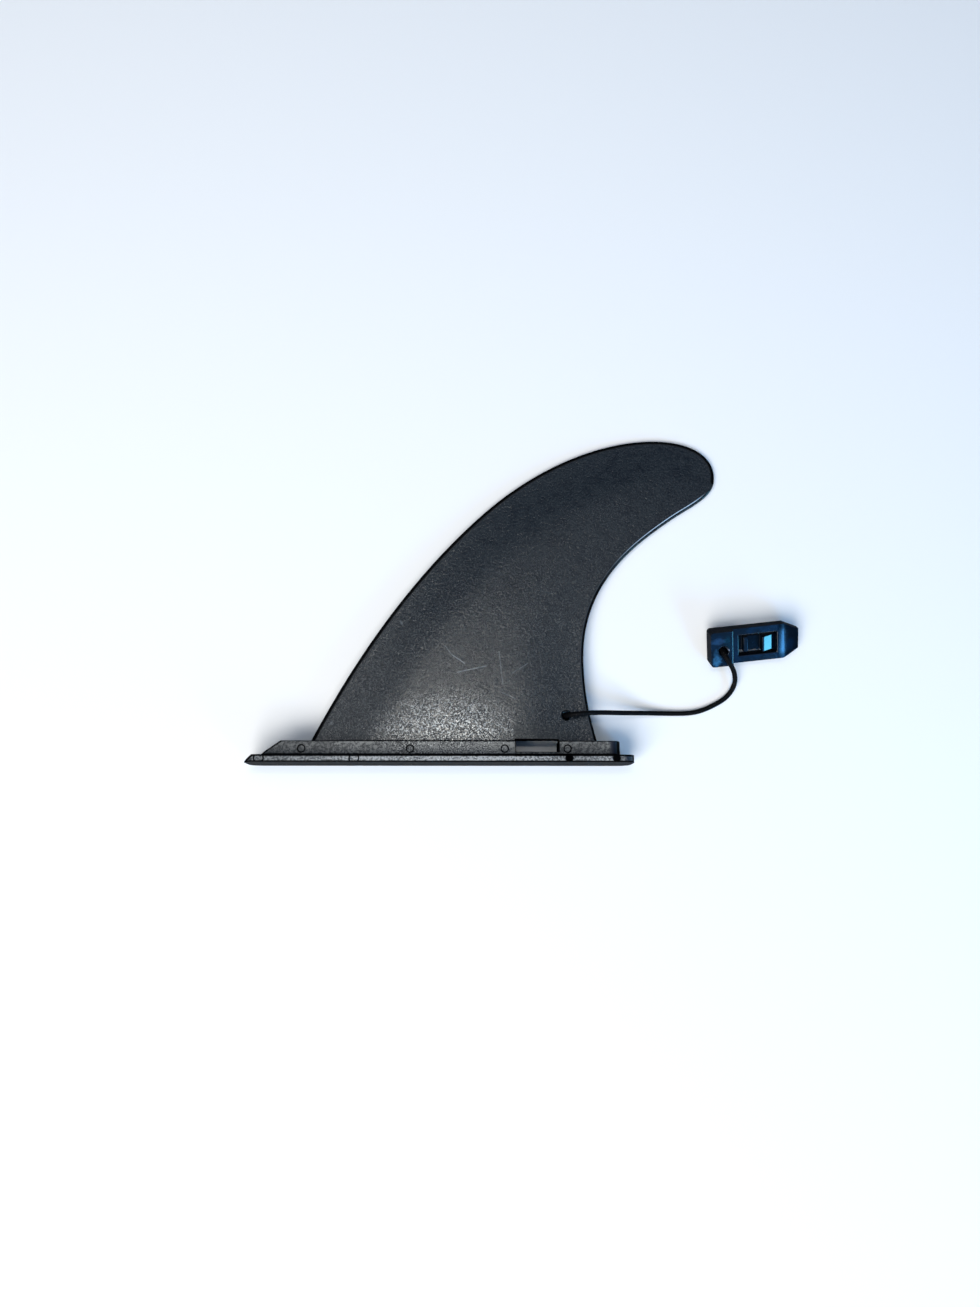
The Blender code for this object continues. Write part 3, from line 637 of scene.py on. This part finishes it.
class Nodes:
    # short way to add and join shader nodes in one tree
    def __init__(self, tree):
        self.tree = tree

    def add(self, kind, **values):
        node = self.tree.nodes.new(kind)
        for name, value in values.items():
            setattr(node, name, value)
        return node

    def join(self, source, target):
        self.tree.links.new(source, target)

    def put(self, target, value):
        if isinstance(value, bpy.types.NodeSocket):
            self.join(value, target)
        else:
            target.default_value = value

    def math(self, operation, a, b=None, c=None, clamp=False):
        node = self.add("ShaderNodeMath", operation=operation, use_clamp=clamp)
        for socket, value in zip(node.inputs, (a, b, c)):
            if value is not None:
                self.put(socket, value)
        return node.outputs[0]

    times = partialmethod(math, "MULTIPLY")
    plus = partialmethod(math, "ADD")
    less = partialmethod(math, "SUBTRACT")
    most = partialmethod(math, "MAXIMUM")
    timesPlus = partialmethod(math, "MULTIPLY_ADD")

    def away(self, value, centre):
        # |value - centre|
        return self.math("ABSOLUTE", self.less(value, centre))

    def ellipse(self, x, y, centre, reach):
        # ((x - cx) / rx)^2 + ((y - cy) / ry)^2
        dx = self.math("DIVIDE", self.less(x, centre[0]), reach[0])
        dy = self.math("DIVIDE", self.less(y, centre[1]), reach[1])
        return self.timesPlus(dx, dx, self.times(dy, dy))

    def ramp(self, value, low, high, toLow=0.0, toHigh=1.0):
        # smooth step from toLow at low to toHigh at high
        node = self.add("ShaderNodeMapRange", interpolation_type="SMOOTHSTEP")
        labels = ("Value", "From Min", "From Max", "To Min", "To Max")
        for label, given in zip(labels, (value, low, high, toLow, toHigh)):
            self.put(node.inputs[label], given)
        return node.outputs[0]

    def noise(self, vector, scale, detail=2.0, roughness=0.5):
        node = self.add("ShaderNodeTexNoise")
        self.join(vector, node.inputs["Vector"])
        self.put(node.inputs["Scale"], scale)
        node.inputs["Detail"].default_value = detail
        node.inputs["Roughness"].default_value = roughness
        return node.outputs["Fac"]

    def cut(self, vector, noise, limits):
        # a noise, ramped between its limits
        return self.ramp(self.noise(vector, *noise), *limits)

    def masked(self, value, *ranges):
        # the value times a ramp of each given source
        for source, limits in ranges:
            value = self.times(value, self.ramp(source, *limits))
        return value

    def mix(self, share, a, b):
        node = self.add("ShaderNodeMix", data_type="RGBA")
        self.put(node.inputs[0], share)
        self.put(node.inputs[6], a)
        self.put(node.inputs[7], b)
        return node.outputs[2]

    def attribute(self, name):
        return self.add("ShaderNodeAttribute", attribute_name=name).outputs["Fac"]

    def group(self, name, *values):
        # outputs of one of the shared groups, its values given in the order of its sockets
        node = self.add("ShaderNodeGroup", node_tree=groups[name])
        for socket, value in zip(node.inputs, values):
            self.put(socket, value)
        return node.outputs


def newGroup(name, inputs, outputs):
    # an empty shader node group with named sockets
    tree = bpy.data.node_groups.new(name, "ShaderNodeTree")
    for label in inputs:
        kind = "NodeSocketVector" if label == "Vector" else "NodeSocketFloat"
        tree.interface.new_socket(name=label, in_out="INPUT", socket_type=kind)
    for label in outputs:
        tree.interface.new_socket(name=label, in_out="OUTPUT", socket_type="NodeSocketFloat")
    net = Nodes(tree)
    return net, net.add("NodeGroupInput").outputs, net.add("NodeGroupOutput").inputs


pebbles = {"fineScale": 2.6, "blotchScale": 0.22, "heightRange": (0.40, 0.85), "toneRange": (0.75, 1.45)}


def pebbleGroup(s):
    # moulded pebble grain: soft cells with finer noise on them, as a height and as a tone
    net, given, out = newGroup("pebbleGrain", ("Vector", "Cells per metre", "Fine share"), ("Height", "Tone"))
    place, cells = given["Vector"], given["Cells per metre"]
    fine = net.noise(place, net.times(cells, s["fineScale"]), 2.0, 0.6)
    total = net.plus(net.noise(place, cells, 1.0, 0.5), net.times(fine, given["Fine share"]))
    net.join(net.ramp(total, *s["heightRange"]), out["Height"])
    blotch = net.noise(place, net.times(cells, s["blotchScale"]), 3.0)
    net.join(net.ramp(net.plus(total, blotch), *s["toneRange"]), out["Tone"])
    return net.tree


scratches = {"thin": (0.988, 0.999), "gapScale": 55.0}


def scratchGroup(s):
    # fine scratches: stretched noise turned to an angle, cut to thin lines and broken up by a second noise
    inputs = ("Vector", "Angle", "Across per metre", "Length ratio", "Cover")
    net, given, out = newGroup("fineScratches", inputs, ("Mask",))
    turn = net.add("ShaderNodeVectorRotate", rotation_type="Z_AXIS")
    net.join(given["Vector"], turn.inputs["Vector"])
    net.join(given["Angle"], turn.inputs["Angle"])
    parts = net.add("ShaderNodeSeparateXYZ")
    net.join(turn.outputs[0], parts.inputs[0])
    vector = net.add("ShaderNodeCombineXYZ")
    net.join(net.times(parts.outputs[0], given["Length ratio"]), vector.inputs[0])
    net.join(parts.outputs[1], vector.inputs[1])
    lines = net.noise(vector.outputs[0], given["Across per metre"], 2.0, 0.6)
    thin = net.ramp(net.less(1.0, net.away(lines, 0.5)), *s["thin"])
    keep = net.ramp(net.noise(given["Vector"], s["gapScale"], 2.0), net.less(1.0, given["Cover"]), 1.0)
    net.join(net.times(thin, keep), out["Mask"])
    return net.tree


def strokeGroup():
    # distance in mm from the point (Along, Height) to the stroke from (X0, Y0) by (Run, Rise):
    # share = clamp((p - a) . d / d . d), distance = |p - a - share d|
    inputs = ("Along", "Height", "X0", "Y0", "Run", "Rise")
    net, given, out = newGroup("strokeDistance", inputs, ("Distance",))
    run, rise = given["Run"], given["Rise"]
    x, y = net.less(given["Along"], given["X0"]), net.less(given["Height"], given["Y0"])
    dot = net.timesPlus(x, run, net.times(y, rise))
    square = net.timesPlus(run, run, net.times(rise, rise))
    share = net.math("DIVIDE", dot, net.plus(square, 0.0001), clamp=True)
    dx, dy = net.less(x, net.times(share, run)), net.less(y, net.times(share, rise))
    net.join(net.math("SQRT", net.timesPlus(dx, dx, net.times(dy, dy))), out["Distance"])
    return net.tree


groups = {"pebble": pebbleGroup(pebbles), "scratch": scratchGroup(scratches), "stroke": strokeGroup()}


def newMaterial(name, **plain):
    # a Principled BSDF with its plain numbers set on its own sockets
    material = bpy.data.materials.new(name)
    material.use_nodes = True
    net = Nodes(material.node_tree)
    shader = material.node_tree.nodes["Principled BSDF"]
    for label, value in plain.items():
        shader.inputs[label.replace("_", " ")].default_value = value
    return material, net, shader


def roughen(net, shader, height, strength, distance):
    bump = net.add("ShaderNodeBump")
    bump.inputs["Strength"].default_value = strength
    bump.inputs["Distance"].default_value = distance
    net.join(height, bump.inputs["Height"])
    net.join(bump.outputs["Normal"], shader.inputs["Normal"])


# the ranges below are in mm along the base or up the blade, from where an effect is missing to where it is full;
# two more numbers are its least and greatest strength; a noise is its scale, detail and roughness; pebble is the
# cells per metre and the fine share; web and scratch are the angle, lines per metre, length ratio and cover
finPlastic = {
    "dark": (0.0025, 0.0040, 0.0060, 1.0), "light": (0.009, 0.012, 0.014, 1.0),
    "pebble": (760.0, 0.4), "cloud": (34.0, 3.0, 0.55),
    "toneShares": (0.6, 0.5), "toneRange": (0.3, 0.8), "footRange": (0.12, 0.02), "footShine": 0.22,
    # painted sheen: pale grain specks laid round where the lamp's highlight falls
    "sheenGrainTone": (0.80, 0.81, 0.77, 1.0), "sheenCentre": (108.0, 8.0), "sheenReach": (56.0, 42.0),
    "sheenRange": (1.25, -0.15), "sheenPower": 2.4, "grain": ((1250.0, 2.0, 0.7), (0.53, 0.60)),
    "sheenShare": 0.85, "sheenFloor": (150.0, 40.0, 0.018, 0.06),
    "patchHeight": (30.0, 17.0), "patchFront": (142.0, 145.0), "patchRear": (180.0, 160.0), "patchHold": 0.85,
    "patchRough": 0.10, "patchDepth": 0.22,
    # neck and flange tones: rubbed wear together with painted sheen
    "neckWearAndSheen": (0.190, 0.194, 0.186, 1.0), "neckRange": (12.2, 11.6), "neckRough": 0.22,
    "flangeWearAndSheen": (0.36, 0.36, 0.352, 1.0), "flangeRange": (4.3, 3.7), "flangeFront": (15.0, 85.0, 0.28, 1.0),
    "speckle": ((760.0, 2.0, 0.7), (0.42, 0.62, 0.12, 1.1)),
    "wearAndSheenNoise": ((34.0, 2.0, 0.6), (0.36, 0.62, 0.5, 1.15)), "wearAndSheenRear": (199.5, 196.5, 0.3, 1.0),
    # strength, where the painted blue reflection on the end begins and where its tail of painted black shade begins,
    # from the rear
    "endReflectionTone": (0.0012, 0.0040, 0.0150, 1.0),
    "neckEndLight": (1.0, (-7.0, -5.0), (-2.6, -1.6)),
    "flangeEndLight": (0.8, (-6.5, -4.5), (-1.8, -0.9)),
    # dark lines of painted shade: distances from the line
    "shadeLineTone": (0.001, 0.001, 0.0015, 1.0),
    "stepLine": (1.2, 0.7), "footLine": (1.0, 0.5), "topLine": (0.7, 0.3), "slopeLine": (1.1, 0.6),
    "neckRing": (0.5, 0.15), "flangeRing": 2.5, "ringLine": (0.55, 0.2), "markDisc": (2.55, 1.87),
    "slotLine": (0.5, 0.25),
    "lineDepth": 0.9, "lineRough": 0.77, "leadingShade": (2.7, 1.35),
    "trailingShade": (2.3, 1.15), "trailingTop": (125.0, 95.0),
    "bladeOnly": (12.0, 13.0),
    "edgeHighlightTone": (0.46, 0.60, 0.74, 1.0), "edgeHighlightInset": 1.6, "edgeHighlightLine": (0.34, 0.06),
    "edgeHighlightFoot": (108.0, 140.0, 0.08, 1.0), "edgeHighlightTop": (156.0, 149.0),
    "scratchTone": (0.17, 0.19, 0.20, 1.0),
    "web": (0.35, 240.0, 0.05, 0.42), "webShare": 0.35,
    "strokes": (
        # start along, start height, run, rise, half width, strength
        (112.8, 49.7, 15.8, 3.5, 0.21, 0.70),
        (106.0, 64.6, 3.6, -4.9, 0.17, 0.45),
        (109.6, 59.7, 7.2, -5.0, 0.21, 0.70),
        (135.7, 61.4, 2.0, -18.0, 0.19, 0.42),
        (142.3, 48.9, 9.3, 6.0, 0.19, 0.45),
        (137.4, 38.5, 7.1, -3.3, 0.19, 0.45),
        (81.3, 78.5, 0.8, -1.2, 0.45, 0.35),
        (44.2, 21.5, 0.8, 0.8, 0.45, 0.35),
    ),
    "strokeRange": (2.0, 0.3), "breaks": ((420.0, 2.0), (0.3, 0.5, 0.35, 1.0)),
    "roughTone": 0.5, "roughRange": (0.4, 1.0, 0.13, 0.20), "scratchDip": -0.6, "bump": (0.7, 0.0001),
}


def makeFinPlastic(s):
    material, net, shader = newMaterial("satin_black_plastic", IOR=1.5)
    place = net.add("ShaderNodeTexCoord").outputs["Object"]
    along, height = net.attribute("finAlong"), net.attribute("finHeight")
    fromTrailing = net.attribute("fromTrailing")

    def distance(x0, y0, run=0.0, rise=0.0):
        return net.group("stroke", along, height, x0, y0, run, rise)["Distance"]

    pebble = net.group("pebble", place, *s["pebble"])
    cloud = net.noise(place, *s["cloud"])
    toPebble, toCloud = s["toneShares"]
    tone = net.plus(net.times(pebble["Tone"], toPebble), net.times(cloud, toCloud))
    base = net.mix(net.ramp(tone, *s["toneRange"]), s["dark"], s["light"])

    # painted sheen: bright grain specks round the lamp's highlight, thinning outwards, almost gone over the slot and
    # missing on the foot's face
    offFoot = net.less(1.0, net.ramp(height, *s["footRange"]))
    patch = net.masked(offFoot, (height, s["patchHeight"]), (along, s["patchFront"]), (along, s["patchRear"]))
    sheenZone = net.ramp(net.ellipse(along, height, s["sheenCentre"], s["sheenReach"]), *s["sheenRange"])
    sheenZone = net.math("POWER", sheenZone, s["sheenPower"])
    sheenZone = net.times(sheenZone, net.less(1.0, net.times(patch, s["patchHold"])))
    sheenZone = net.times(net.most(sheenZone, net.ramp(height, *s["sheenFloor"])), offFoot)
    grain = net.cut(place, *s["grain"])
    base = net.mix(net.times(net.times(grain, sheenZone), s["sheenShare"]), base, s["sheenGrainTone"])

    # neck and flange: a paler, rubbed skin, patchy along its length; its brightness is partly painted sheen
    onFlange, onNeck = net.ramp(height, *s["flangeRange"]), net.ramp(height, *s["neckRange"])
    skin = net.times(net.cut(place, *s["speckle"]), net.cut(place, *s["wearAndSheenNoise"]))
    skin = net.times(net.times(skin, net.ramp(along, *s["wearAndSheenRear"]), clamp=True), offFoot)
    base = net.mix(net.times(onNeck, skin, clamp=True), base, s["neckWearAndSheen"])
    skin = net.masked(skin, (along, s["flangeFront"]))
    base = net.mix(net.times(onFlange, skin, clamp=True), base, s["flangeWearAndSheen"])

    # their rear ends: a painted blue reflection, then painted black shade
    ends, line = 0.0, net.ramp(net.away(height, fin["flangeThickness"]), *s["stepLine"])
    onlyNeck = net.times(onNeck, net.less(1.0, onFlange))
    for mask, rear, part in ((onlyNeck, fin["neckRear"], "neckEndLight"), (onFlange, fin["baseLength"], "flangeEndLight")):
        strength, blue, black = s[part]
        past = net.less(along, rear)
        end = net.masked(net.times(mask, strength), (past, blue))
        ends = net.most(ends, end)
        line = net.most(line, net.masked(end, (past, black)))
    base = net.mix(ends, base, s["endReflectionTone"])

    # painted shade: dark lines at the steps, the sloping front edges, the slot and the marks
    neckTop, halfFlange = fin["flangeThickness"] + fin["neckHeight"], 0.5 * fin["flangeThickness"]
    halfLength, halfHeight = 0.5 * fin["slotLength"], 0.5 * fin["slotHeight"]
    x = net.less(net.away(along, fin["slotStart"] + halfLength), halfLength)
    y = net.less(net.away(height, fin["slotBottom"] + halfHeight), halfHeight)
    neckSlope = distance(fin["neckFront"], fin["flangeThickness"], fin["neckRampRun"], fin["neckHeight"])
    noseSlope = distance(fin["noseFoot"], 0.0, fin["flangeNoseRun"], fin["flangeThickness"])
    neckRings = [distance(mark, fin["neckMarkHeight"]) for mark in fin["neckMarks"]]
    flangeRings = [distance(mark, halfFlange) for mark in fin["flangeMarks"] if mark < fin["slotStart"]]
    discs = [distance(mark, halfFlange) for mark in fin["flangeMarks"] if mark > fin["slotStart"]]
    for far, limits in (
        (height, "footLine"),
        (net.away(height, neckTop), "topLine"),
        (neckSlope, "slopeLine"),
        (noseSlope, "slopeLine"),
        *((net.away(ring, 0.5 * fin["neckMarkBore"]), "neckRing") for ring in neckRings),
        *((net.away(ring, s["flangeRing"]), "ringLine") for ring in flangeRings),
        *((disc, "markDisc") for disc in discs),
        (net.most(x, y), "slotLine"),
    ):
        line = net.most(line, net.ramp(far, *s[limits]))
    line = net.times(line, net.timesPlus(offFoot, s["footShine"], 1.0 - s["footShine"]))

    # the blade's outline in painted black shade, and a painted blue highlight inside its trailing edge
    edge = net.ramp(net.attribute("fromLeading"), *s["leadingShade"])
    rear = net.masked(net.ramp(fromTrailing, *s["trailingShade"]), (height, s["trailingTop"]))
    outline = net.most(net.masked(net.most(edge, rear), (height, s["bladeOnly"])), line)
    base = net.mix(outline, base, s["shadeLineTone"])
    # painted highlight: a pale blue line along the trailing edge's rounding
    edgeHighlight = net.ramp(net.away(fromTrailing, s["edgeHighlightInset"]), *s["edgeHighlightLine"])
    base = net.mix(net.masked(edgeHighlight, (height, s["edgeHighlightFoot"]), (height, s["edgeHighlightTop"])), base, s["edgeHighlightTone"])

    # scratches: the ones that can be made out, each at its place, over a faint web of finer ones
    marks = net.times(net.group("scratch", place, *s["web"])["Mask"], s["webShare"])
    outer, inner = s["strokeRange"]
    for *stroke, half, strength in s["strokes"]:
        marks = net.most(marks, net.ramp(distance(*stroke), outer * half, inner * half, 0.0, strength))
    marks = net.times(marks, net.cut(place, *s["breaks"]))
    net.join(net.mix(marks, base, s["scratchTone"]), shader.inputs["Base Color"])

    rough = net.ramp(net.timesPlus(pebble["Tone"], s["roughTone"], cloud), *s["roughRange"])
    rough = net.timesPlus(onNeck, s["neckRough"], rough)
    rough = net.timesPlus(patch, s["patchRough"], rough)
    net.join(net.timesPlus(outline, s["lineRough"], rough, clamp=True), shader.inputs["Roughness"])
    # the painted-shade outline keeps no gloss of its own: black and without the clear skin's reflection
    depth = net.timesPlus(patch, s["patchDepth"], net.times(outline, s["lineDepth"]))
    net.join(net.math("MINIMUM", depth, 1.0), shader.inputs["Metallic"])
    rise = net.timesPlus(marks, s["scratchDip"], pebble["Height"])
    roughen(net, shader, rise, *s["bump"])
    return material


# ranges and noises as above, in the clip's own mm
clipPlastic = {
    "plain": {"IOR": 1.45, "Specular_IOR_Level": 0.015, "Coat_Roughness": 0.13, "Coat_IOR": 1.48},
    "pebble": (900.0, 0.3),
    "dark": (0.0006, 0.0022, 0.0050, 1.0),
    "light": (0.0010, 0.0040, 0.0095, 1.0),
    # painted reflection: a deep blue sheen on the upward faces
    "faceSheenTone": (0.0015, 0.017, 0.052, 1.0), "faceSheen": ((105.0, 2.0, 0.55), (0.48, 0.66, 0.0, 0.5)),
    "faceSheenUp": (0.9, 0.99),
    # painted reflections of the window on the head
    "headReflections": (
        # along, across, half length, half width, strength, colour
        (3.2, -6.6, 3.2, 3.4, 0.80, (0.034, 0.16, 0.33, 1.0)),
        (2.8, -2.4, 1.8, 3.4, 0.40, (0.024, 0.12, 0.25, 1.0)),
        (4.2, 4.8, 4.6, 2.4, 0.25, (0.040, 0.13, 0.30, 1.0)),
        (9.2, 3.0, 2.6, 6.0, 0.30, (0.001, 0.05, 0.09, 1.0)),
        # a painted glint on the hole's rim
        (9.75, -0.7, 0.7, 0.8, 0.90, (0.30, 0.38, 0.52, 1.0)),
    ),
    "reflectionNoise": (380.0, 2.0, 0.6), "reflectionBreak": 2.4, "reflectionSoft": (1.15, -0.3), "reflectionEdge": (1.6, 0.6),
    "rough": ((120.0, 3.0), (0.3, 0.75, 0.10, 0.18)),
    "scratch": (0.2, 420.0, 0.05, 0.45), "scratchRough": 0.25,
    "wall": (0.75, 0.55), "wallRough": 0.4,
    "armCoat": (3.15, 3.5, 0.4, 1.0),
    "ridgeRear": (37.5, 39.0), "ridgeFront": (46.0, 44.5), "ridgeFade": (4.5, 8.8, 0.0, 0.8),
    "bump": (0.12, 0.00004),
}


def makeClipPlastic(s):
    material, net, shader = newMaterial("gloss_black_plastic", **s["plain"])
    place = net.add("ShaderNodeTexCoord").outputs["Object"]
    along, across, faceUp = (net.attribute(name) for name in ("clipAlong", "clipAcross", "faceUp"))
    pebble = net.group("pebble", place, *s["pebble"])
    base = net.mix(pebble["Tone"], s["dark"], s["light"])
    # painted reflection: deep blue sheen on the upward faces only
    faceSheen = net.masked(net.cut(place, *s["faceSheen"]), (faceUp, s["faceSheenUp"]))
    base = net.mix(faceSheen, base, s["faceSheenTone"])
    # painted reflections on the head: soft pale patches broken up by a noise, and a painted glint at the hole's rim
    cloud = net.less(net.noise(place, *s["reflectionNoise"]), 0.5)
    for x0, y0, length, width, strength, colour in s["headReflections"]:
        far = net.ellipse(along, across, (x0, y0), (length, width))
        share = net.ramp(net.timesPlus(cloud, s["reflectionBreak"], far), *s["reflectionSoft"], 0.0, strength)
        base = net.mix(net.times(share, net.ramp(far, *s["reflectionEdge"])), base, colour)
    net.join(base, shader.inputs["Base Color"])
    scratch = net.group("scratch", place, *s["scratch"])
    rough = net.timesPlus(scratch["Mask"], s["scratchRough"], net.cut(place, *s["rough"]))
    wall = net.ramp(faceUp, *s["wall"])
    net.join(net.timesPlus(wall, s["wallRough"], rough), shader.inputs["Roughness"])
    # the latch's arm lies deep in the window, where little light gets in
    coat = net.masked(net.less(1.0, wall), (net.attribute("clipHeight"), s["armCoat"]))
    # the ridge before the nose shines in its middle and fades to both long edges
    side = net.math("ABSOLUTE", across)
    fade = net.masked(1.0, (along, s["ridgeRear"]), (along, s["ridgeFront"]), (side, s["ridgeFade"]))
    net.join(net.times(coat, net.less(1.0, fade)), shader.inputs["Coat Weight"])
    roughen(net, shader, pebble["Height"], *s["bump"])
    return material


cordBraid = {
    "plain": {"Roughness": 0.62, "Specular_IOR_Level": 0.08},
    "grooveShade": (0.0006, 0.0006, 0.0008, 1.0),
    "yarn": (0.0020, 0.0022, 0.0026, 1.0), "yarnRise": (0.15, 0.8),
    # painted shade in the braid's grooves, painted highlights on its crests
    "crestGlintTone": (0.12, 0.12, 0.12, 1.0),
    "crestGlints": ((900.0, 2.0, 0.6), (0.62, 0.72, 0.0, 0.5)),
    "crestGlintRise": (0.5, 0.9),
    "fuzzNoise": (3500.0, 2.0),
    "bump": (0.5, 0.00008),
}


def makeBraid(s):
    material, net, shader = newMaterial("braided_black_cord", **s["plain"])
    place = net.add("ShaderNodeTexCoord").outputs["Object"]
    rise = net.attribute("braidRise")
    # darker in the grooves (painted shade), with pale flecks on the crests (painted highlights)
    base = net.mix(net.ramp(rise, *s["yarnRise"]), s["grooveShade"], s["yarn"])
    crestGlints = net.masked(net.cut(place, *s["crestGlints"]), (rise, s["crestGlintRise"]))
    net.join(net.mix(crestGlints, base, s["crestGlintTone"]), shader.inputs["Base Color"])
    roughen(net, shader, net.noise(place, *s["fuzzNoise"]), *s["bump"])
    return material


def dress(piece, material, node):
    # one finish, one ride, one CAD node that the piece stands for
    piece.data.materials.clear()
    piece.data.materials.append(material)
    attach(piece, "root")
    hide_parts(node)


dress(finPiece, makeFinPlastic(finPlastic), "fin")
dress(clipPiece, makeClipPlastic(clipPlastic), "locking_clip")
braidFinish = makeBraid(cordBraid)
dress(cordPiece, braidFinish, "tether_cord")
dress(finKnot, braidFinish, "fin_knot")
dress(clipKnot, braidFinish, "clip_knot")
print("pieces finished")


# a pale floor under soft lamps; places and sizes in m
studio = {
    "floorColour": (0.88, 0.88, 0.87, 1.0), "floorRough": 0.7, "floorSize": 3.0,
    "skyLow": (0.02, 0.032, 0.055, 1.0), "skyHigh": (0.13, 0.21, 0.35, 1.0), "skyRange": (0.3, 0.95),
    "skyStrength": 1.0,
    "lamps": (
        # name, place, aimed at, width, depth, radiance, colour
        ("key", (-0.75, -1.25, 1.75), (0.0, -0.02, 0.0), 1.6, 1.4, 8.4, (1.0, 0.985, 0.955)),
        ("ceilingLamp", (-0.03, 0.096, 0.894), (-0.01, -0.068, 0.012), 0.09, 0.06, 44.0, (1.0, 0.98, 0.91)),
        ("ceilingGlow", (-0.15, 0.31, 1.30), (-0.01, -0.068, 0.012), 1.2, 0.34, 0.55, (1.0, 0.98, 0.93)),
        ("leftGlow", (-0.58, 0.36, 1.30), (-0.07, -0.07, 0.012), 0.46, 0.5, 0.9, (1.0, 0.99, 0.95)),
        ("rightGlow", (0.42, 0.20, 1.30), (0.05, -0.07, 0.012), 0.34, 0.42, 0.55, (0.96, 0.98, 1.0)),
        ("window", (0.86, -1.02, 0.72), (0.14, -0.03, 0.0), 0.28, 0.30, 24.0, (0.09, 0.42, 1.0)),
        ("windowGlow", (0.60, -1.02, 0.92), (0.14, -0.03, 0.0), 0.6, 0.4, 0.34, (0.01, 0.32, 1.0)),
        ("lowWindow", (1.40, -0.42, 0.125), (0.15, -0.03, 0.0), 0.36, 0.2, 22.0, (0.13, 0.64, 1.0)),
        ("edgeStrip", (0.80, -1.18, 0.55), (0.08, 0.02, 0.0), 0.36, 0.30, 8.0, (0.42, 0.76, 1.0)),
    ),
}


def makeStudio(s):
    size = 0.5 * s["floorSize"]
    points = np.array([(-size, -size, 0.0), (size, -size, 0.0), (size, size, 0.0), (-size, size, 0.0)])
    floor = addObject("floor", meshFromArrays("floor", points, np.array([[0, 1, 2, 3]])))
    floor.data.materials.append(newMaterial("pale_floor", Base_Color=s["floorColour"], Roughness=s["floorRough"])[0])
    for name, place, target, width, depth, radiance, colour in s["lamps"]:
        data = bpy.data.lights.new(name, "AREA")
        data.shape, data.size, data.size_y, data.color = "RECTANGLE", width, depth, colour
        data.energy = math.pi * width * depth * radiance
        lamp = addObject(name, data)
        lamp.location = place
        lamp.rotation_euler = (Vector(target) - Vector(place)).to_track_quat("-Z", "Y").to_euler()
    world = bpy.data.worlds.new("studioFill")
    world.use_nodes = True
    sky = Nodes(world.node_tree)
    height = sky.add("ShaderNodeSeparateXYZ")
    sky.join(sky.add("ShaderNodeTexCoord").outputs["Generated"], height.inputs[0])
    share = sky.ramp(height.outputs[2], *s["skyRange"])
    background = world.node_tree.nodes["Background"]
    sky.join(sky.mix(share, s["skyLow"], s["skyHigh"]), background.inputs["Color"])
    background.inputs["Strength"].default_value = s["skyStrength"]
    bpy.context.scene.world = world
    bpy.context.scene.view_settings.view_transform = "Standard"


makeStudio(studio)
print("studio lit")
